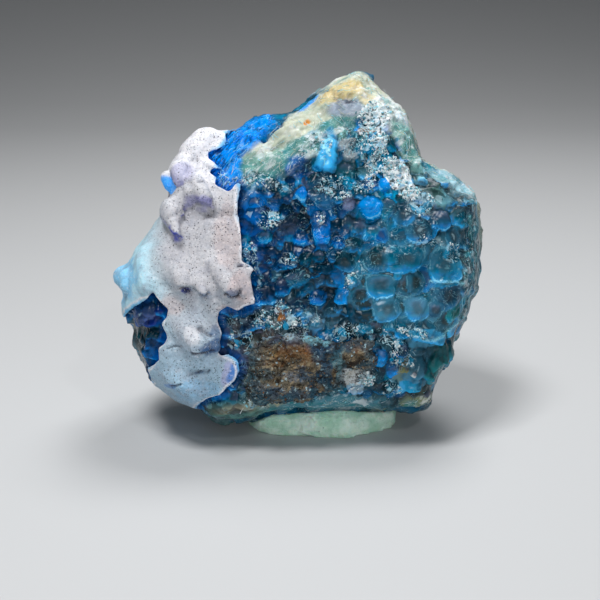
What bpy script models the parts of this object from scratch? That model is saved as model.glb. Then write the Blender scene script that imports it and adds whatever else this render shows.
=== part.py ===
"""A small allophane specimen: a broken blue mass with a white crust, pressed upright into putty."""

import math

import bmesh
import bpy
import numpy as np
from mathutils import Vector, noise

# Lengths in this file are millimetres until finish() turns them into metres.
# The stone is drawn in its own plane: x to the right, z up its face, y back into the stone.
MM = 0.001
LEAN = math.radians(18)
STONE_PLACE = Vector((0.1, -3.52, 2.6))
GAP = 0.3
CRUST_DEPTH = 0.9
CRUST_RISE = 0.8
RIM_WIDTH = 7.0
RIM_SHARE = 0.36
RIM_UNEVEN = 0.35
FRONT_BEVEL = 0.5
BACK_BEVEL = 2.2
MIDDLE = (0.0, 18.0)
HALF_DEPTH = 10.0
PAST_STONE = 20.0
UNDERSIDE = 1.0

# The grain that each surface is modelled at, and about how many triangles each piece keeps.
ROUGH_GRAIN = 0.7
FACE_GRAIN = 0.6
CRUST_GRAIN = 0.45
BLUE_TRIANGLES = 4700
CRUST_TRIANGLES = 2600
ROCK_TRIANGLES = 500
PUTTY_TRIANGLES = 700

# The stone's outline as seen square to its face, clockwise from the top of the white crust.
STONE_OUTLINE = [
    (-12.4, 34.0), (-11.1, 34.2), (-8.7, 34.2), (-8.0, 34.0), (-7.3, 34.5), (-6.1, 35.5), (-5.0, 35.9),
    (-3.9, 36.3), (-3.2, 36.3), (-1.5, 37.0), (-0.4, 37.2), (0.9, 38.4), (2.5, 39.5), (4.6, 40.8),
    (5.7, 41.2), (6.8, 41.6), (7.6, 41.4), (8.5, 40.5), (9.3, 39.8), (10.3, 39.3), (11.2, 38.0),
    (12.8, 37.2), (13.5, 35.8), (14.1, 34.1), (14.6, 32.4), (15.0, 31.5), (16.0, 30.4), (17.3, 29.7),
    (18.9, 29.1), (19.8, 28.3), (19.9, 27.3), (21.3, 26.7), (22.4, 25.1), (22.1, 24.0), (22.5, 22.5),
    (22.3, 20.6), (22.4, 19.2), (22.1, 16.9), (21.9, 14.7), (21.2, 13.2), (21.0, 11.6), (19.8, 9.9),
    (19.3, 8.5), (19.0, 6.2), (18.3, 4.6), (17.1, 3.0), (16.3, 1.0), (16.0, -0.6), (13.5, -0.5),
    (10.5, -0.3), (5.5, -0.2), (1.2, -0.3), (-1.8, -0.5), (-3.9, -0.6), (-5.4, -1.4), (-6.5, -1.9),
    (-8.2, -2.1), (-10.0, -2.1), (-11.3, -1.4), (-12.4, -0.1), (-13.8, 0.1), (-15.3, 0.6), (-16.4, 1.5),
    (-18.1, 2.9), (-18.9, 3.4), (-19.4, 4.7), (-20.2, 5.9), (-20.8, 7.5), (-20.9, 9.5), (-21.9, 10.9),
    (-22.0, 12.3), (-21.6, 13.6), (-21.9, 15.2), (-21.8, 16.6), (-20.9, 18.1), (-20.0, 19.5), (-18.4, 21.7),
    (-17.2, 23.3), (-16.2, 25.1), (-16.1, 26.7), (-16.4, 28.2), (-16.1, 29.8), (-15.3, 30.9), (-14.0, 32.3),
]

# The white crust's broken edge over the front, closed by a loose line outside the stone.
CRUST_FRONT = [
    (-16.7, 37.0), (-8.1, 36.0), (-8.2, 33.6), (-8.9, 33.0), (-8.5, 32.3), (-8.8, 31.4), (-9.8, 30.9),
    (-10.8, 30.7), (-10.8, 29.9), (-9.8, 29.3), (-8.8, 28.6), (-10.4, 28.5), (-10.5, 28.1), (-9.5, 27.5),
    (-9.9, 26.7), (-8.2, 25.8), (-7.7, 26.7), (-7.1, 27.0), (-6.7, 26.8), (-6.9, 25.1), (-7.1, 23.6),
    (-6.8, 21.8), (-6.6, 19.2), (-6.6, 17.7), (-5.6, 17.3), (-5.2, 16.7), (-5.7, 16.1), (-5.5, 14.4),
    (-5.1, 12.8), (-6.2, 12.4), (-7.1, 11.9), (-8.3, 12.5), (-9.3, 11.8), (-9.4, 10.8), (-8.9, 9.4),
    (-9.1, 8.4), (-9.5, 7.5), (-9.2, 6.9), (-8.1, 7.1), (-7.0, 6.3), (-6.8, 5.1), (-7.5, 3.9),
    (-8.3, 3.1), (-9.3, 2.2), (-10.7, 1.8), (-11.6, 1.0), (-12.2, 0.5), (-12.4, -2.0), (-17.9, -3.0),
    (-23.0, 1.0), (-18.6, 3.1), (-17.6, 4.0), (-18.0, 5.3), (-17.2, 5.6), (-16.4, 6.2), (-16.3, 7.7),
    (-15.7, 8.0), (-15.3, 8.9), (-16.0, 10.6), (-15.3, 11.2), (-15.1, 12.2), (-16.2, 13.1),
    (-16.9, 14.3), (-17.6, 13.2), (-18.3, 12.7), (-19.5, 12.1), (-21.3, 11.0), (-25.5, 10.6),
    (-27.0, 19.2), (-23.0, 31.0),
]
CRUST_BACK = [
    (-17.0, 37.0), (-9.5, 36.5), (-10.6, 31.5), (-12.4, 27.5), (-12.0, 23.5), (-14.6, 19.5),
    (-15.2, 15.0), (-17.8, 12.6), (-25.5, 10.6), (-27.0, 19.2), (-23.0, 31.0),
]

# Depths in front of the stone's middle plane and behind it, each as (x, z, depth).
FRONT_DEPTHS = [
    (-13.0, 31.5, 7.0), (-11.0, 27.0, 8.5), (-16.0, 21.0, 9.5), (-9.0, 22.0, 10.5), (-14.5, 15.0, 12.4),
    (-19.0, 15.5, 10.0), (-9.0, 15.5, 11.9), (-12.0, 9.5, 11.4), (-13.5, 4.0, 9.6), (-18.5, 7.0, 8.6),
    (-4.5, 20.0, 10.7), (2.0, 20.0, 11.0), (9.0, 20.0, 11.3), (15.0, 18.0, 10.6), (20.0, 17.0, 8.2),
    (-5.0, 30.5, 8.2), (-1.0, 34.5, 6.0), (3.0, 31.0, 9.6), (6.5, 38.5, 5.0), (9.0, 33.0, 8.2),
    (11.5, 28.0, 9.6), (16.0, 25.5, 8.4), (1.5, 26.0, 10.6), (-5.5, 5.5, 10.2), (1.5, 5.0, 9.8),
    (8.0, 8.0, 11.2), (12.5, 9.8, 11.7), (16.5, 9.4, 10.6), (19.5, 11.0, 8.8), (14.0, 4.5, 8.4),
    (15.0, 1.0, 7.2), (8.0, 1.5, 9.4), (-9.5, 0.0, 8.2),
]
BACK_DEPTHS = [
    (-15.0, 30.0, 5.0), (-18.0, 16.0, 7.0), (-15.0, 5.0, 8.0), (-5.0, 33.0, 6.0), (6.0, 37.0, 4.5),
    (-6.0, 20.0, 11.5), (4.0, 26.0, 9.5), (3.0, 12.0, 12.5), (12.0, 28.0, 7.0), (18.0, 20.0, 7.5),
    (14.0, 12.0, 10.0), (15.0, 3.0, 7.0), (-4.0, 3.0, 9.0), (5.0, 3.0, 9.5),
]

# Flat broken faces, each as (x, z, depth there, rise of the depth for each mm in x, and in z).
FRONT_BREAKS = [
    (14.0, 9.2, 11.0, -0.55, 0.72),
    (-3.0, 32.6, 8.6, 0.45, -0.62),
    (14.5, 24.5, 9.8, -0.42, -0.25),
    (6.5, 34.5, 7.6, -0.05, -0.55),
]
BACK_BREAKS = [
    (0.0, 25.0, 10.2, 0.10, -0.46),
    (-2.0, 9.0, 11.0, 0.06, 0.42),
    (-11.0, 14.0, 8.6, 0.50, 0.06),
    (-9.0, 27.0, 7.4, 0.42, -0.30),
    (12.5, 16.0, 8.8, -0.46, 0.12),
    (9.0, 6.0, 9.4, -0.30, 0.34),
    (10.0, 29.0, 7.2, -0.34, -0.28),
]

# Round hollows in the front face, each as (x, z, radius, dent).
FRONT_HOLLOWS = [
    (-7.4, 9.8, 2.4, 1.5), (-18.6, 9.6, 2.4, 0.9), (2.6, 26.2, 2.0, 1.3), (-3.8, 17.6, 1.8, 1.0),
    (-8.8, 29.2, 1.8, 0.9), (7.2, 21.0, 1.6, 0.8), (0.8, 12.2, 2.0, 0.8),
]

# Drips and swellings on the crust: each runs over the face from one (x, z) to another, with a radius and
# a height above the crust at its start and at its end.
CRUST_DRIPS = [
    ((-13.0, 27.2), (-11.0, 24.6), (1.5, 0.9), (0.7, 1.3)),
    ((-13.3, 29.8), (-14.1, 28.0), (1.6, 1.3), (0.5, 1.4)),
    ((-11.2, 32.2), (-12.6, 30.8), (2.0, 2.0), (0.5, 0.8)),
    ((-13.2, 25.8), (-15.2, 23.7), (1.2, 1.1), (0.7, 1.3)),
    ((-15.1, 23.6), (-14.1, 20.7), (1.3, 0.6), (1.2, 1.3)),
    ((-12.8, 17.4), (-10.9, 14.2), (1.6, 0.8), (0.2, 1.1)),
    ((-10.1, 17.8), (-7.7, 14.1), (1.8, 1.1), (0.4, 1.7)),
    ((-15.8, 18.0), (-13.4, 15.0), (2.3, 1.2), (0.4, 1.4)),
    ((-13.9, 11.2), (-11.5, 7.5), (2.0, 1.2), (0.5, 2.2)),
    ((-12.2, 10.6), (-10.0, 8.4), (1.5, 1.2), (0.4, 1.3)),
    ((-17.6, 18.2), (-17.4, 15.0), (1.8, 1.5), (0.3, 0.9)),
    ((-14.2, 4.6), (-12.4, 2.8), (2.0, 1.5), (0.5, 0.8)),
]

# Knobs on the crust's outer edge, each as (x, y, z, radius).
CRUST_KNOBS = [
    (-15.7, -2.6, 27.9, 1.0), (-15.5, -4.4, 27.5, 1.0), (-15.4, -4.6, 24.2, 1.2), (-14.8, -1.0, 24.0, 1.3),
    (-21.3, -3.2, 16.0, 1.5), (-20.4, -4.8, 12.8, 1.2), (-19.0, 1.5, 16.6, 1.3),
]

# The brown rock's outline on the lower front, and how deep it sits in the stone.
MATRIX_OUTLINE = [
    (-6.4, 3.3), (-5.8, 5.4), (-5.4, 7.0), (-4.2, 8.8), (-1.8, 9.3), (2.1, 8.8), (3.8, 8.1),
    (5.3, 8.5), (6.9, 8.8), (8.0, 8.2), (8.6, 6.5), (8.5, 5.3), (7.2, 4.8), (6.2, 3.7),
    (4.5, 2.8), (2.6, 2.0), (0.0, 1.5), (-2.6, 1.3), (-4.5, 0.9), (-6.2, 1.6),
]
MATRIX_BACK = -4.5

# The putty: its middle, its half sizes, and how square its corners are, from 1 for a ball to 0 for a box.
PUTTY_MIDDLE = Vector((2.7, 0.9, 0.0))
PUTTY_HALF = Vector((9.6, 8.2, 5.6))
PUTTY_ROUNDNESS = 0.7


def new_object(name, mesh):
    """Link a mesh to the scene as a plain object."""
    made = bpy.data.objects.new(name, mesh)
    bpy.context.scene.collection.objects.link(made)
    return made


def applied(made, *modifiers):
    """Add modifiers, each as (type, settings), and turn the result into a plain mesh."""
    for kind, settings in modifiers:
        modifier = made.modifiers.new(kind.title(), kind)
        for setting, value in settings.items():
            setattr(modifier, setting, value)
    graph = bpy.context.evaluated_depsgraph_get()
    mesh = bpy.data.meshes.new_from_object(made.evaluated_get(graph))
    made.modifiers.clear()
    made.data = mesh
    return made


def removed(*spent):
    """Remove objects that were only needed to shape others."""
    for made in spent:
        bpy.data.objects.remove(made)


def slab(name, outline, near, far):
    """A flat slab with this outline, standing between two depths."""
    curve = bpy.data.curves.new(name, "CURVE")
    curve.dimensions = "2D"
    curve.fill_mode = "BOTH"
    curve.extrude = (far - near) / 2
    spline = curve.splines.new("POLY")
    spline.points.add(len(outline) - 1)
    for point, (x, z) in zip(spline.points, outline):
        point.co = (x, z, 0, 1)
    spline.use_cyclic_u = True
    drawn = new_object(name, curve)
    graph = bpy.context.evaluated_depsgraph_get()
    mesh = bpy.data.meshes.new_from_object(drawn.evaluated_get(graph))
    removed(drawn)
    shape = bmesh.new()
    shape.from_mesh(mesh)
    bmesh.ops.remove_doubles(shape, verts=shape.verts, dist=0.001)
    for vertex in shape.verts:
        x, z, depth = vertex.co
        vertex.co = (x, -depth + (near + far) / 2, z)
    bmesh.ops.recalc_face_normals(shape, faces=shape.faces)
    shape.to_mesh(mesh)
    shape.free()
    return new_object(name, mesh)


def points_of(made):
    """An object's vertices as an array."""
    found = np.empty(len(made.data.vertices) * 3)
    made.data.vertices.foreach_get("co", found)
    return found.reshape(-1, 3)


def normals_of(made):
    """An object's vertex normals as an array."""
    found = np.empty(len(made.data.vertices) * 3)
    made.data.vertex_normals.foreach_get("vector", found)
    return found.reshape(-1, 3)


def move_points(made, places):
    """Put an object's vertices at new places."""
    made.data.vertices.foreach_set("co", places.ravel())
    made.data.update()


def edge_distance(x, z, outline):
    """Distance from each point to the nearest edge of an outline."""
    corners = np.array(outline)
    ends = np.roll(corners, -1, axis=0)
    nearest = np.full(len(x), np.inf)
    for start, end in zip(corners, ends):
        run = end - start
        along = ((x - start[0]) * run[0] + (z - start[1]) * run[1]) / run.dot(run)
        along = np.clip(along, 0, 1)
        reach = np.hypot(x - start[0] - along * run[0], z - start[1] - along * run[1])
        nearest = np.minimum(nearest, reach)
    return nearest


def inside(x, z, outline):
    """Whether each point lies inside an outline."""
    corners = np.array(outline)
    ends = np.roll(corners, -1, axis=0)
    within = np.zeros(len(x), bool)
    for (x0, z0), (x1, z1) in zip(corners, ends):
        if z0 == z1:
            continue
        crosses = (z0 > z) != (z1 > z)
        within ^= crosses & (x < x0 + (z - z0) * (x1 - x0) / (z1 - z0))
    return within


def blended_depth(x, z, depths, reach=4.5):
    """A smooth depth over the face from a few chosen depths."""
    total = np.zeros(len(x))
    weight = np.zeros(len(x))
    for at_x, at_z, depth in depths:
        share = np.exp(-((x - at_x) ** 2 + (z - at_z) ** 2) / (2 * reach ** 2)) + 1e-9
        total += share * depth
        weight += share
    return total / weight


def roughened(made, size, height, seed):
    """Push the front and back in and out by soft noise, and leave the outline where it is."""
    places = points_of(made)
    normals = normals_of(made)
    offset = Vector((seed * 7.1, seed * 3.7, seed * 5.3))
    lift = np.array([noise.noise(Vector(place) / size + offset) for place in places])
    lift = lift * height * np.abs(normals[:, 1])
    move_points(made, places + normals * lift[:, None])
    return made


def lump_relief(x, z, spacing=3.1, height=1.7, seed=4):
    """Packed rounded cells over the face: each is a low dome, with creases where domes meet."""
    random = np.random.default_rng(seed)
    relief = np.zeros(len(x))
    for row in range(-1, 16):
        for column in range(-9, 10):
            at_x = (column + 0.5 * (row % 2)) * spacing + random.uniform(-0.8, 0.8)
            at_z = row * spacing * 0.87 + random.uniform(-0.8, 0.8)
            radius = random.uniform(0.62, 0.85) * spacing
            dome = 1 - ((x - at_x) ** 2 + (z - at_z) ** 2) / radius ** 2
            relief = np.maximum(relief, dome * random.uniform(0.6, 1.0))
    return relief * height


def broken(depth, x, z, breaks):
    """Cut a depth back to flat broken faces."""
    for at_x, at_z, level, slope_x, slope_z in breaks:
        depth = np.minimum(depth, level + slope_x * (x - at_x) + slope_z * (z - at_z))
    return depth


def front_depth(x, z, crust_rise):
    """How far the front face stands before the middle plane, with the crust's side raised."""
    edge = edge_distance(x, z, STONE_OUTLINE)
    past_crust = edge_distance(x, z, CRUST_FRONT) * np.where(inside(x, z, CRUST_FRONT), -1, 1)
    raised = crust_rise * np.clip((2.2 - past_crust) / 1.2, 0, 1)
    blue = np.clip(past_crust / 1.5, 0, 1) * np.clip(edge / 2, 0, 1)
    depth = broken(blended_depth(x, z, FRONT_DEPTHS) * rim_rounding(x, z, edge, 2), x, z, FRONT_BREAKS)
    for at_x, at_z, radius, dent in FRONT_HOLLOWS:
        depth = depth - dent * np.exp(-((x - at_x) ** 2 + (z - at_z) ** 2) / radius ** 2)
    return depth + raised + lump_relief(x, z) * blue


def back_depth(x, z):
    """How far the back face stands behind the middle plane."""
    edge = edge_distance(x, z, STONE_OUTLINE)
    return broken(blended_depth(x, z, BACK_DEPTHS) * rim_rounding(x, z, edge, 7), x, z, BACK_BREAKS)


def rim_rounding(x, z, edge, seed):
    """The share of its full depth that the stone keeps near its rim, uneven all round."""
    share = np.array([noise.noise(Vector((px / 7, seed, pz / 7))) for px, pz in zip(x, z)])
    share = RIM_SHARE + RIM_UNEVEN * share
    rim = np.clip(edge / RIM_WIDTH, 0, 1)
    return share + (1 - share) * np.sqrt(1 - (1 - rim) ** 2)


def stone(name, crust_rise):
    """The whole stone's surface, with the side under the crust raised by crust_rise."""
    made = slab(name, STONE_OUTLINE, -HALF_DEPTH, HALF_DEPTH)
    applied(made, ("REMESH", {"mode": "VOXEL", "voxel_size": ROUGH_GRAIN}))
    places = points_of(made)
    x, y, z = places.T.copy()
    edge = edge_distance(x, z, STONE_OUTLINE)
    depth = np.where(y < 0, front_depth(x, z, crust_rise), back_depth(x, z))
    places[:, 1] = y / HALF_DEPTH * depth
    bevel = np.where(y < 0, FRONT_BEVEL, BACK_BEVEL)
    drawn_in = bevel * (y / HALF_DEPTH) ** 2 * np.clip(1 - edge / 3, 0, 1)
    reach = np.hypot(x - MIDDLE[0], z - MIDDLE[1])
    places[:, 0] -= drawn_in * (x - MIDDLE[0]) / reach
    places[:, 2] -= drawn_in * (z - MIDDLE[1]) / reach
    move_points(made, places)
    return applied(
        made,
        ("REMESH", {"mode": "VOXEL", "voxel_size": FACE_GRAIN}),
        ("SMOOTH", {"factor": 0.4, "iterations": 1}),
    )


def crust_balls():
    """The balls that make the crust's drips and knobs, each as (x, y, z, radius)."""
    balls = list(CRUST_KNOBS)
    for start, end, radii, heights in CRUST_DRIPS:
        for step in np.linspace(0, 1, 6):
            x = start[0] + (end[0] - start[0]) * step
            z = start[1] + (end[1] - start[1]) * step
            radius = radii[0] + (radii[1] - radii[0]) * step
            height = heights[0] + (heights[1] - heights[0]) * step
            face = front_depth(np.array([x]), np.array([z]), CRUST_RISE)[0]
            balls.append((x, -(face + height - radius), z, radius))
    return balls


def with_lumps(made, lumps):
    """Melt round lumps into a surface."""
    shape = bmesh.new()
    shape.from_mesh(made.data)
    for x, y, z, radius in lumps:
        ball = bmesh.ops.create_icosphere(shape, subdivisions=3, radius=radius)
        bmesh.ops.translate(shape, verts=ball["verts"], vec=(x, y, z))
    shape.to_mesh(made.data)
    shape.free()
    return applied(
        made,
        ("REMESH", {"mode": "VOXEL", "voxel_size": CRUST_GRAIN}),
        ("SMOOTH", {"factor": 0.5, "iterations": 3}),
    )


def grown(source, name, amount):
    """A copy of an object with its surface moved out by an amount."""
    made = new_object(name, source.data.copy())
    move_points(made, points_of(made) + normals_of(made) * amount)
    return made


def joined(made, other, operation):
    """Change an object by a Boolean with another."""
    applied(made, ("BOOLEAN", {"object": other, "operation": operation, "solver": "EXACT"}))
    return made


def cut_below(made, height):
    """Cut an object off flat at a height above the floor and close the cut."""
    shape = bmesh.new()
    shape.from_mesh(made.data)
    floor_point = Vector((0, 0, (height - STONE_PLACE.z) / math.cos(LEAN)))
    up = Vector((0, -math.sin(LEAN), math.cos(LEAN)))
    geometry = shape.verts[:] + shape.edges[:] + shape.faces[:]
    bmesh.ops.bisect_plane(shape, geom=geometry, plane_co=floor_point, plane_no=up, clear_inner=True)
    bmesh.ops.holes_fill(shape, edges=[edge for edge in shape.edges if edge.is_boundary])
    bmesh.ops.recalc_face_normals(shape, faces=shape.faces)
    shape.to_mesh(made.data)
    shape.free()
    return made


def largest_body(made):
    """Drop the crumbs that a cut leaves loose."""
    shape = bmesh.new()
    shape.from_mesh(made.data)
    waiting = set(shape.faces)
    bodies = []
    while waiting:
        body = set()
        front = [waiting.pop()]
        while front:
            face = front.pop()
            body.add(face)
            for edge in face.edges:
                for other in edge.link_faces:
                    if other in waiting:
                        waiting.discard(other)
                        front.append(other)
        bodies.append(body)
    bodies.sort(key=len)
    crumbs = [face for body in bodies[:-1] for face in body]
    bmesh.ops.delete(shape, geom=crumbs, context="FACES")
    shape.to_mesh(made.data)
    shape.free()
    return made


def healed(made, smallest=0.02):
    """Close the needle-thin faces and doubled points that a Boolean or a reduction can leave."""
    shape = bmesh.new()
    shape.from_mesh(made.data)
    bmesh.ops.triangulate(shape, faces=shape.faces)
    bmesh.ops.remove_doubles(shape, verts=shape.verts, dist=smallest)
    bmesh.ops.dissolve_degenerate(shape, edges=shape.edges, dist=smallest)
    for turn in range(3):
        crowded = [edge for edge in shape.edges if len(edge.link_faces) > 2]
        spare = {min(edge.link_faces, key=lambda face: face.calc_area()) for edge in crowded}
        bmesh.ops.delete(shape, geom=list(spare), context="FACES")
        bmesh.ops.holes_fill(shape, edges=[edge for edge in shape.edges if edge.is_boundary])
        bmesh.ops.triangulate(shape, faces=shape.faces)
    shape.to_mesh(made.data)
    shape.free()
    return made


def slimmed(made, triangles):
    """Reduce an object to about this many triangles."""
    made.data.calc_loop_triangles()
    share = triangles / len(made.data.loop_triangles)
    return applied(made, ("TRIANGULATE", {}), ("DECIMATE", {"ratio": min(share, 1)}))


def crust_cutter():
    """The part of space that the crust fills: its front outline, and further round the back."""
    front = slab("front", CRUST_FRONT, -PAST_STONE, 1)
    back = slab("back", CRUST_BACK, 0.5, PAST_STONE)
    joined(front, back, "UNION")
    removed(back)
    return front


def pressed_putty(stone_shape):
    """A low lump with a flat underside, dented by the stone that stands in it."""
    shape = bmesh.new()
    ball = bmesh.ops.create_uvsphere(shape, u_segments=32, v_segments=20, radius=1)
    for vertex in ball["verts"]:
        flat = vertex.co.normalized()
        squared = Vector([math.copysign(abs(part) ** PUTTY_ROUNDNESS, part) for part in flat])
        vertex.co = Vector((squared.x * PUTTY_HALF.x, squared.y * PUTTY_HALF.y, squared.z * PUTTY_HALF.z))
        vertex.co += PUTTY_MIDDLE
        swell = 0.9 * noise.noise(vertex.co / 5) + 0.4 * noise.noise(vertex.co / 2)
        vertex.co += flat * swell
    geometry = shape.verts[:] + shape.edges[:] + shape.faces[:]
    bmesh.ops.bisect_plane(shape, geom=geometry, plane_co=(0, 0, 0), plane_no=(0, 0, 1), clear_inner=True)
    bmesh.ops.holes_fill(shape, edges=[edge for edge in shape.edges if edge.is_boundary])
    bmesh.ops.recalc_face_normals(shape, faces=shape.faces)
    mesh = bpy.data.meshes.new("putty")
    shape.to_mesh(mesh)
    shape.free()
    putty = new_object("putty", mesh)
    seat = grown(stone_shape, "seat", GAP)
    seat.location = STONE_PLACE
    seat.rotation_euler = (-LEAN, 0, 0)
    joined(putty, seat, "DIFFERENCE")
    removed(seat)
    return healed(slimmed(healed(largest_body(putty)), PUTTY_TRIANGLES))


def mixed(name, colour, roughness):
    """A plain material."""
    material = bpy.data.materials.new(name)
    material.use_nodes = True
    shader = material.node_tree.nodes["Principled BSDF"]
    shader.inputs["Base Color"].default_value = (*colour, 1)
    shader.inputs["Roughness"].default_value = roughness
    shader.inputs["Metallic"].default_value = 0
    return material


def finish(made, name, material, collection, place=STONE_PLACE, lean=LEAN):
    """Turn a piece into metres, put it in its place and give it its material."""
    made.name = name
    made.data.name = name
    move_points(made, points_of(made) * MM)
    made.data.materials.clear()
    made.data.materials.append(material)
    made.location = place * MM
    made.rotation_euler = (-lean, 0, 0)
    for owner in made.users_collection:
        owner.objects.unlink(made)
    collection.objects.link(made)


def main():
    for old in list(bpy.data.objects):
        bpy.data.objects.remove(old)
    specimen = bpy.data.collections.new("allophane_specimen")
    bpy.context.scene.collection.children.link(specimen)

    mass = cut_below(roughened(stone("mass", 0), 4.5, 0.8, seed=1), UNDERSIDE)
    coarse = ("REMESH", {"mode": "VOXEL", "voxel_size": ROUGH_GRAIN})
    inset = applied(grown(mass, "inset", -CRUST_DEPTH), coarse)
    crust = cut_below(with_lumps(stone("crust", CRUST_RISE), crust_balls()), UNDERSIDE)
    room = crust_cutter()
    joined(crust, room, "INTERSECT")
    joined(crust, inset, "DIFFERENCE")
    healed(slimmed(healed(largest_body(crust)), CRUST_TRIANGLES))

    matrix = roughened(new_object("matrix", mass.data.copy()), 1.7, 0.9, seed=2)
    matrix_room = slab("matrix_room", MATRIX_OUTLINE, -PAST_STONE, MATRIX_BACK)
    joined(matrix, matrix_room, "INTERSECT")
    healed(slimmed(largest_body(matrix), ROCK_TRIANGLES))

    slimmed(mass, BLUE_TRIANGLES)
    crust_space = grown(crust, "crust_space", GAP)
    matrix_space = grown(matrix, "matrix_space", GAP)
    joined(mass, crust_space, "DIFFERENCE")
    joined(mass, matrix_space, "DIFFERENCE")
    healed(largest_body(mass))
    putty = pressed_putty(mass)
    removed(inset, room, matrix_room, crust_space, matrix_space)

    finish(mass, "blue_allophane", mixed("blue_allophane", (0.03, 0.22, 0.42), 0.15), specimen)
    finish(crust, "white_crust", mixed("white_crust", (0.72, 0.76, 0.82), 0.55), specimen)
    finish(matrix, "brown_matrix", mixed("brown_matrix", (0.20, 0.11, 0.05), 0.85), specimen)
    finish(putty, "putty", mixed("putty", (0.55, 0.68, 0.60), 0.6), specimen, Vector((0, 0, 0)), 0)


main()
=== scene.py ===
"""A small allophane specimen: translucent blue cells, a white crust and brown rock, in pale putty."""

import math
from dataclasses import dataclass

import bmesh
import bpy
import numpy as np
from mathutils import Matrix, Vector
from mathutils.bvhtree import BVHTree
from mathutils.kdtree import KDTree


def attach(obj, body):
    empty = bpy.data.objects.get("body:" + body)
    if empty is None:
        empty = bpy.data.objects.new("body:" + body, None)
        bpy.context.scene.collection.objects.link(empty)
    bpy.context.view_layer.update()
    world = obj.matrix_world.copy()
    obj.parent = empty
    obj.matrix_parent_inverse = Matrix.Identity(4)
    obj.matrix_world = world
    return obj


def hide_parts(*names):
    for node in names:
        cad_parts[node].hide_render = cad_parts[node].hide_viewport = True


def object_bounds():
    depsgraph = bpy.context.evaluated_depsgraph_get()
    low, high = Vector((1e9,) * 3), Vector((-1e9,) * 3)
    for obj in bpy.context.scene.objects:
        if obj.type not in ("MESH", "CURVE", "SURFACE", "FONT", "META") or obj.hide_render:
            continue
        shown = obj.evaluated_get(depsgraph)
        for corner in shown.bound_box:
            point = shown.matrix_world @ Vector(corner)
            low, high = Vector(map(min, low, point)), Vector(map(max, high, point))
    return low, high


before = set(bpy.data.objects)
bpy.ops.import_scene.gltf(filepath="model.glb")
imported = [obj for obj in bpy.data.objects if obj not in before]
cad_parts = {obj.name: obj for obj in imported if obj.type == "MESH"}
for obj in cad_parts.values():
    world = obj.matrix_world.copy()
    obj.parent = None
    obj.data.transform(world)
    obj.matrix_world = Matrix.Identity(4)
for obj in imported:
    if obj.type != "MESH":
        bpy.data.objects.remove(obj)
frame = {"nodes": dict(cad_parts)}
cad_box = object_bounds()

# Shapes are worked in millimetres in the stone's own plane: x to the right, z up its face, y back into it.
MM = 0.001
LEAN = math.radians(18)
STONE_PLACE = Vector((0.1, -3.52, 2.6))
TO_WORLD = Matrix.Scale(MM, 4) @ Matrix.Translation(STONE_PLACE) @ Matrix.Rotation(-LEAN, 4, "X")
TO_STONE = TO_WORLD.inverted()

# How fine each skin is, and how far the blue mass reaches out to close the seams to its neighbours.
MASS_GRAIN = 0.5
CRUST_GRAIN = 0.17
ROCK_GRAIN = 0.16
PUTTY_GRAIN = 0.3
SEAM_REACH = 0.55
SEAM_DEPTH = 0.08

# How many places are tried for broken faces and for rounded cells, and how many loose bits lie on the stone.
FACE_TRIES = 14000
BEAD_TRIES = 3000
FLAKES = 2200
GRAINS = 1100
RIND_FIBRES = 260
STREAK_FIBRES = 110

# Grains are made in batches of this many, and a cell shows where it stands out by this much.
GRAIN_BATCH = 150
STANDS_OUT = 0.06

# Colours, as red, green and blue from 0 to 1 on a screen.
COLOURS = {
    "ink": (0.00, 0.07, 0.10),
    "deep": (0.00, 0.20, 0.38),
    "royal": (0.00, 0.33, 0.63),
    "cobalt": (0.00, 0.45, 0.80),
    "azure": (0.00, 0.58, 0.94),
    "vivid": (0.00, 0.47, 1.00),
    "sky": (0.25, 0.72, 0.96),
    "bright_cyan": (0.05, 0.64, 0.84),
    "pale_cyan": (0.60, 0.88, 0.95),
    "teal": (0.00, 0.36, 0.45),
    "sea": (0.00, 0.43, 0.56),
    "sea_green": (0.05, 0.50, 0.52),
    "dark_teal": (0.00, 0.22, 0.28),
    "grey_teal": (0.32, 0.54, 0.60),
    "slate": (0.13, 0.32, 0.44),
    "mauve": (0.52, 0.56, 0.70),
    "haze": (0.26, 0.52, 0.64),
    "frost": (0.74, 0.88, 0.93),
    "mist": (0.45, 0.68, 0.74),
    "lavender_grey": (0.62, 0.67, 0.74),
    "indigo": (0.06, 0.15, 0.48),
    "night": (0.06, 0.08, 0.18),
    "dusk": (0.30, 0.40, 0.62),
    "violet": (0.42, 0.42, 0.78),
    "blue_violet": (0.16, 0.24, 0.72),
    "lilac": (0.66, 0.66, 0.84),
    "rind_beige": (0.76, 0.78, 0.70),
    "rind_green": (0.42, 0.62, 0.58),
    "gold": (0.82, 0.74, 0.52),
    "olive": (0.50, 0.52, 0.34),
    "rust": (0.58, 0.37, 0.15),
    "orange": (0.85, 0.55, 0.20),
    "brown": (0.47, 0.42, 0.34),
    "grey_brown": (0.46, 0.44, 0.38),
    "black_brown": (0.13, 0.10, 0.07),
    "tan": (0.70, 0.63, 0.50),
    "umber": (0.24, 0.24, 0.20),
    "bottle": (0.04, 0.24, 0.24),
    "chalk": (0.90, 0.93, 0.94),
    "porcelain": (0.93, 0.93, 0.95),
    "porcelain_grey": (0.74, 0.74, 0.76),
    "shell_pink": (0.78, 0.72, 0.72),
    "steel_sky": (0.67, 0.81, 0.90),
    "steel": (0.14, 0.33, 0.53),
    "ice": (0.72, 0.93, 1.00),
}
BLACK = (0.0, 0.0, 0.0)

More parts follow.
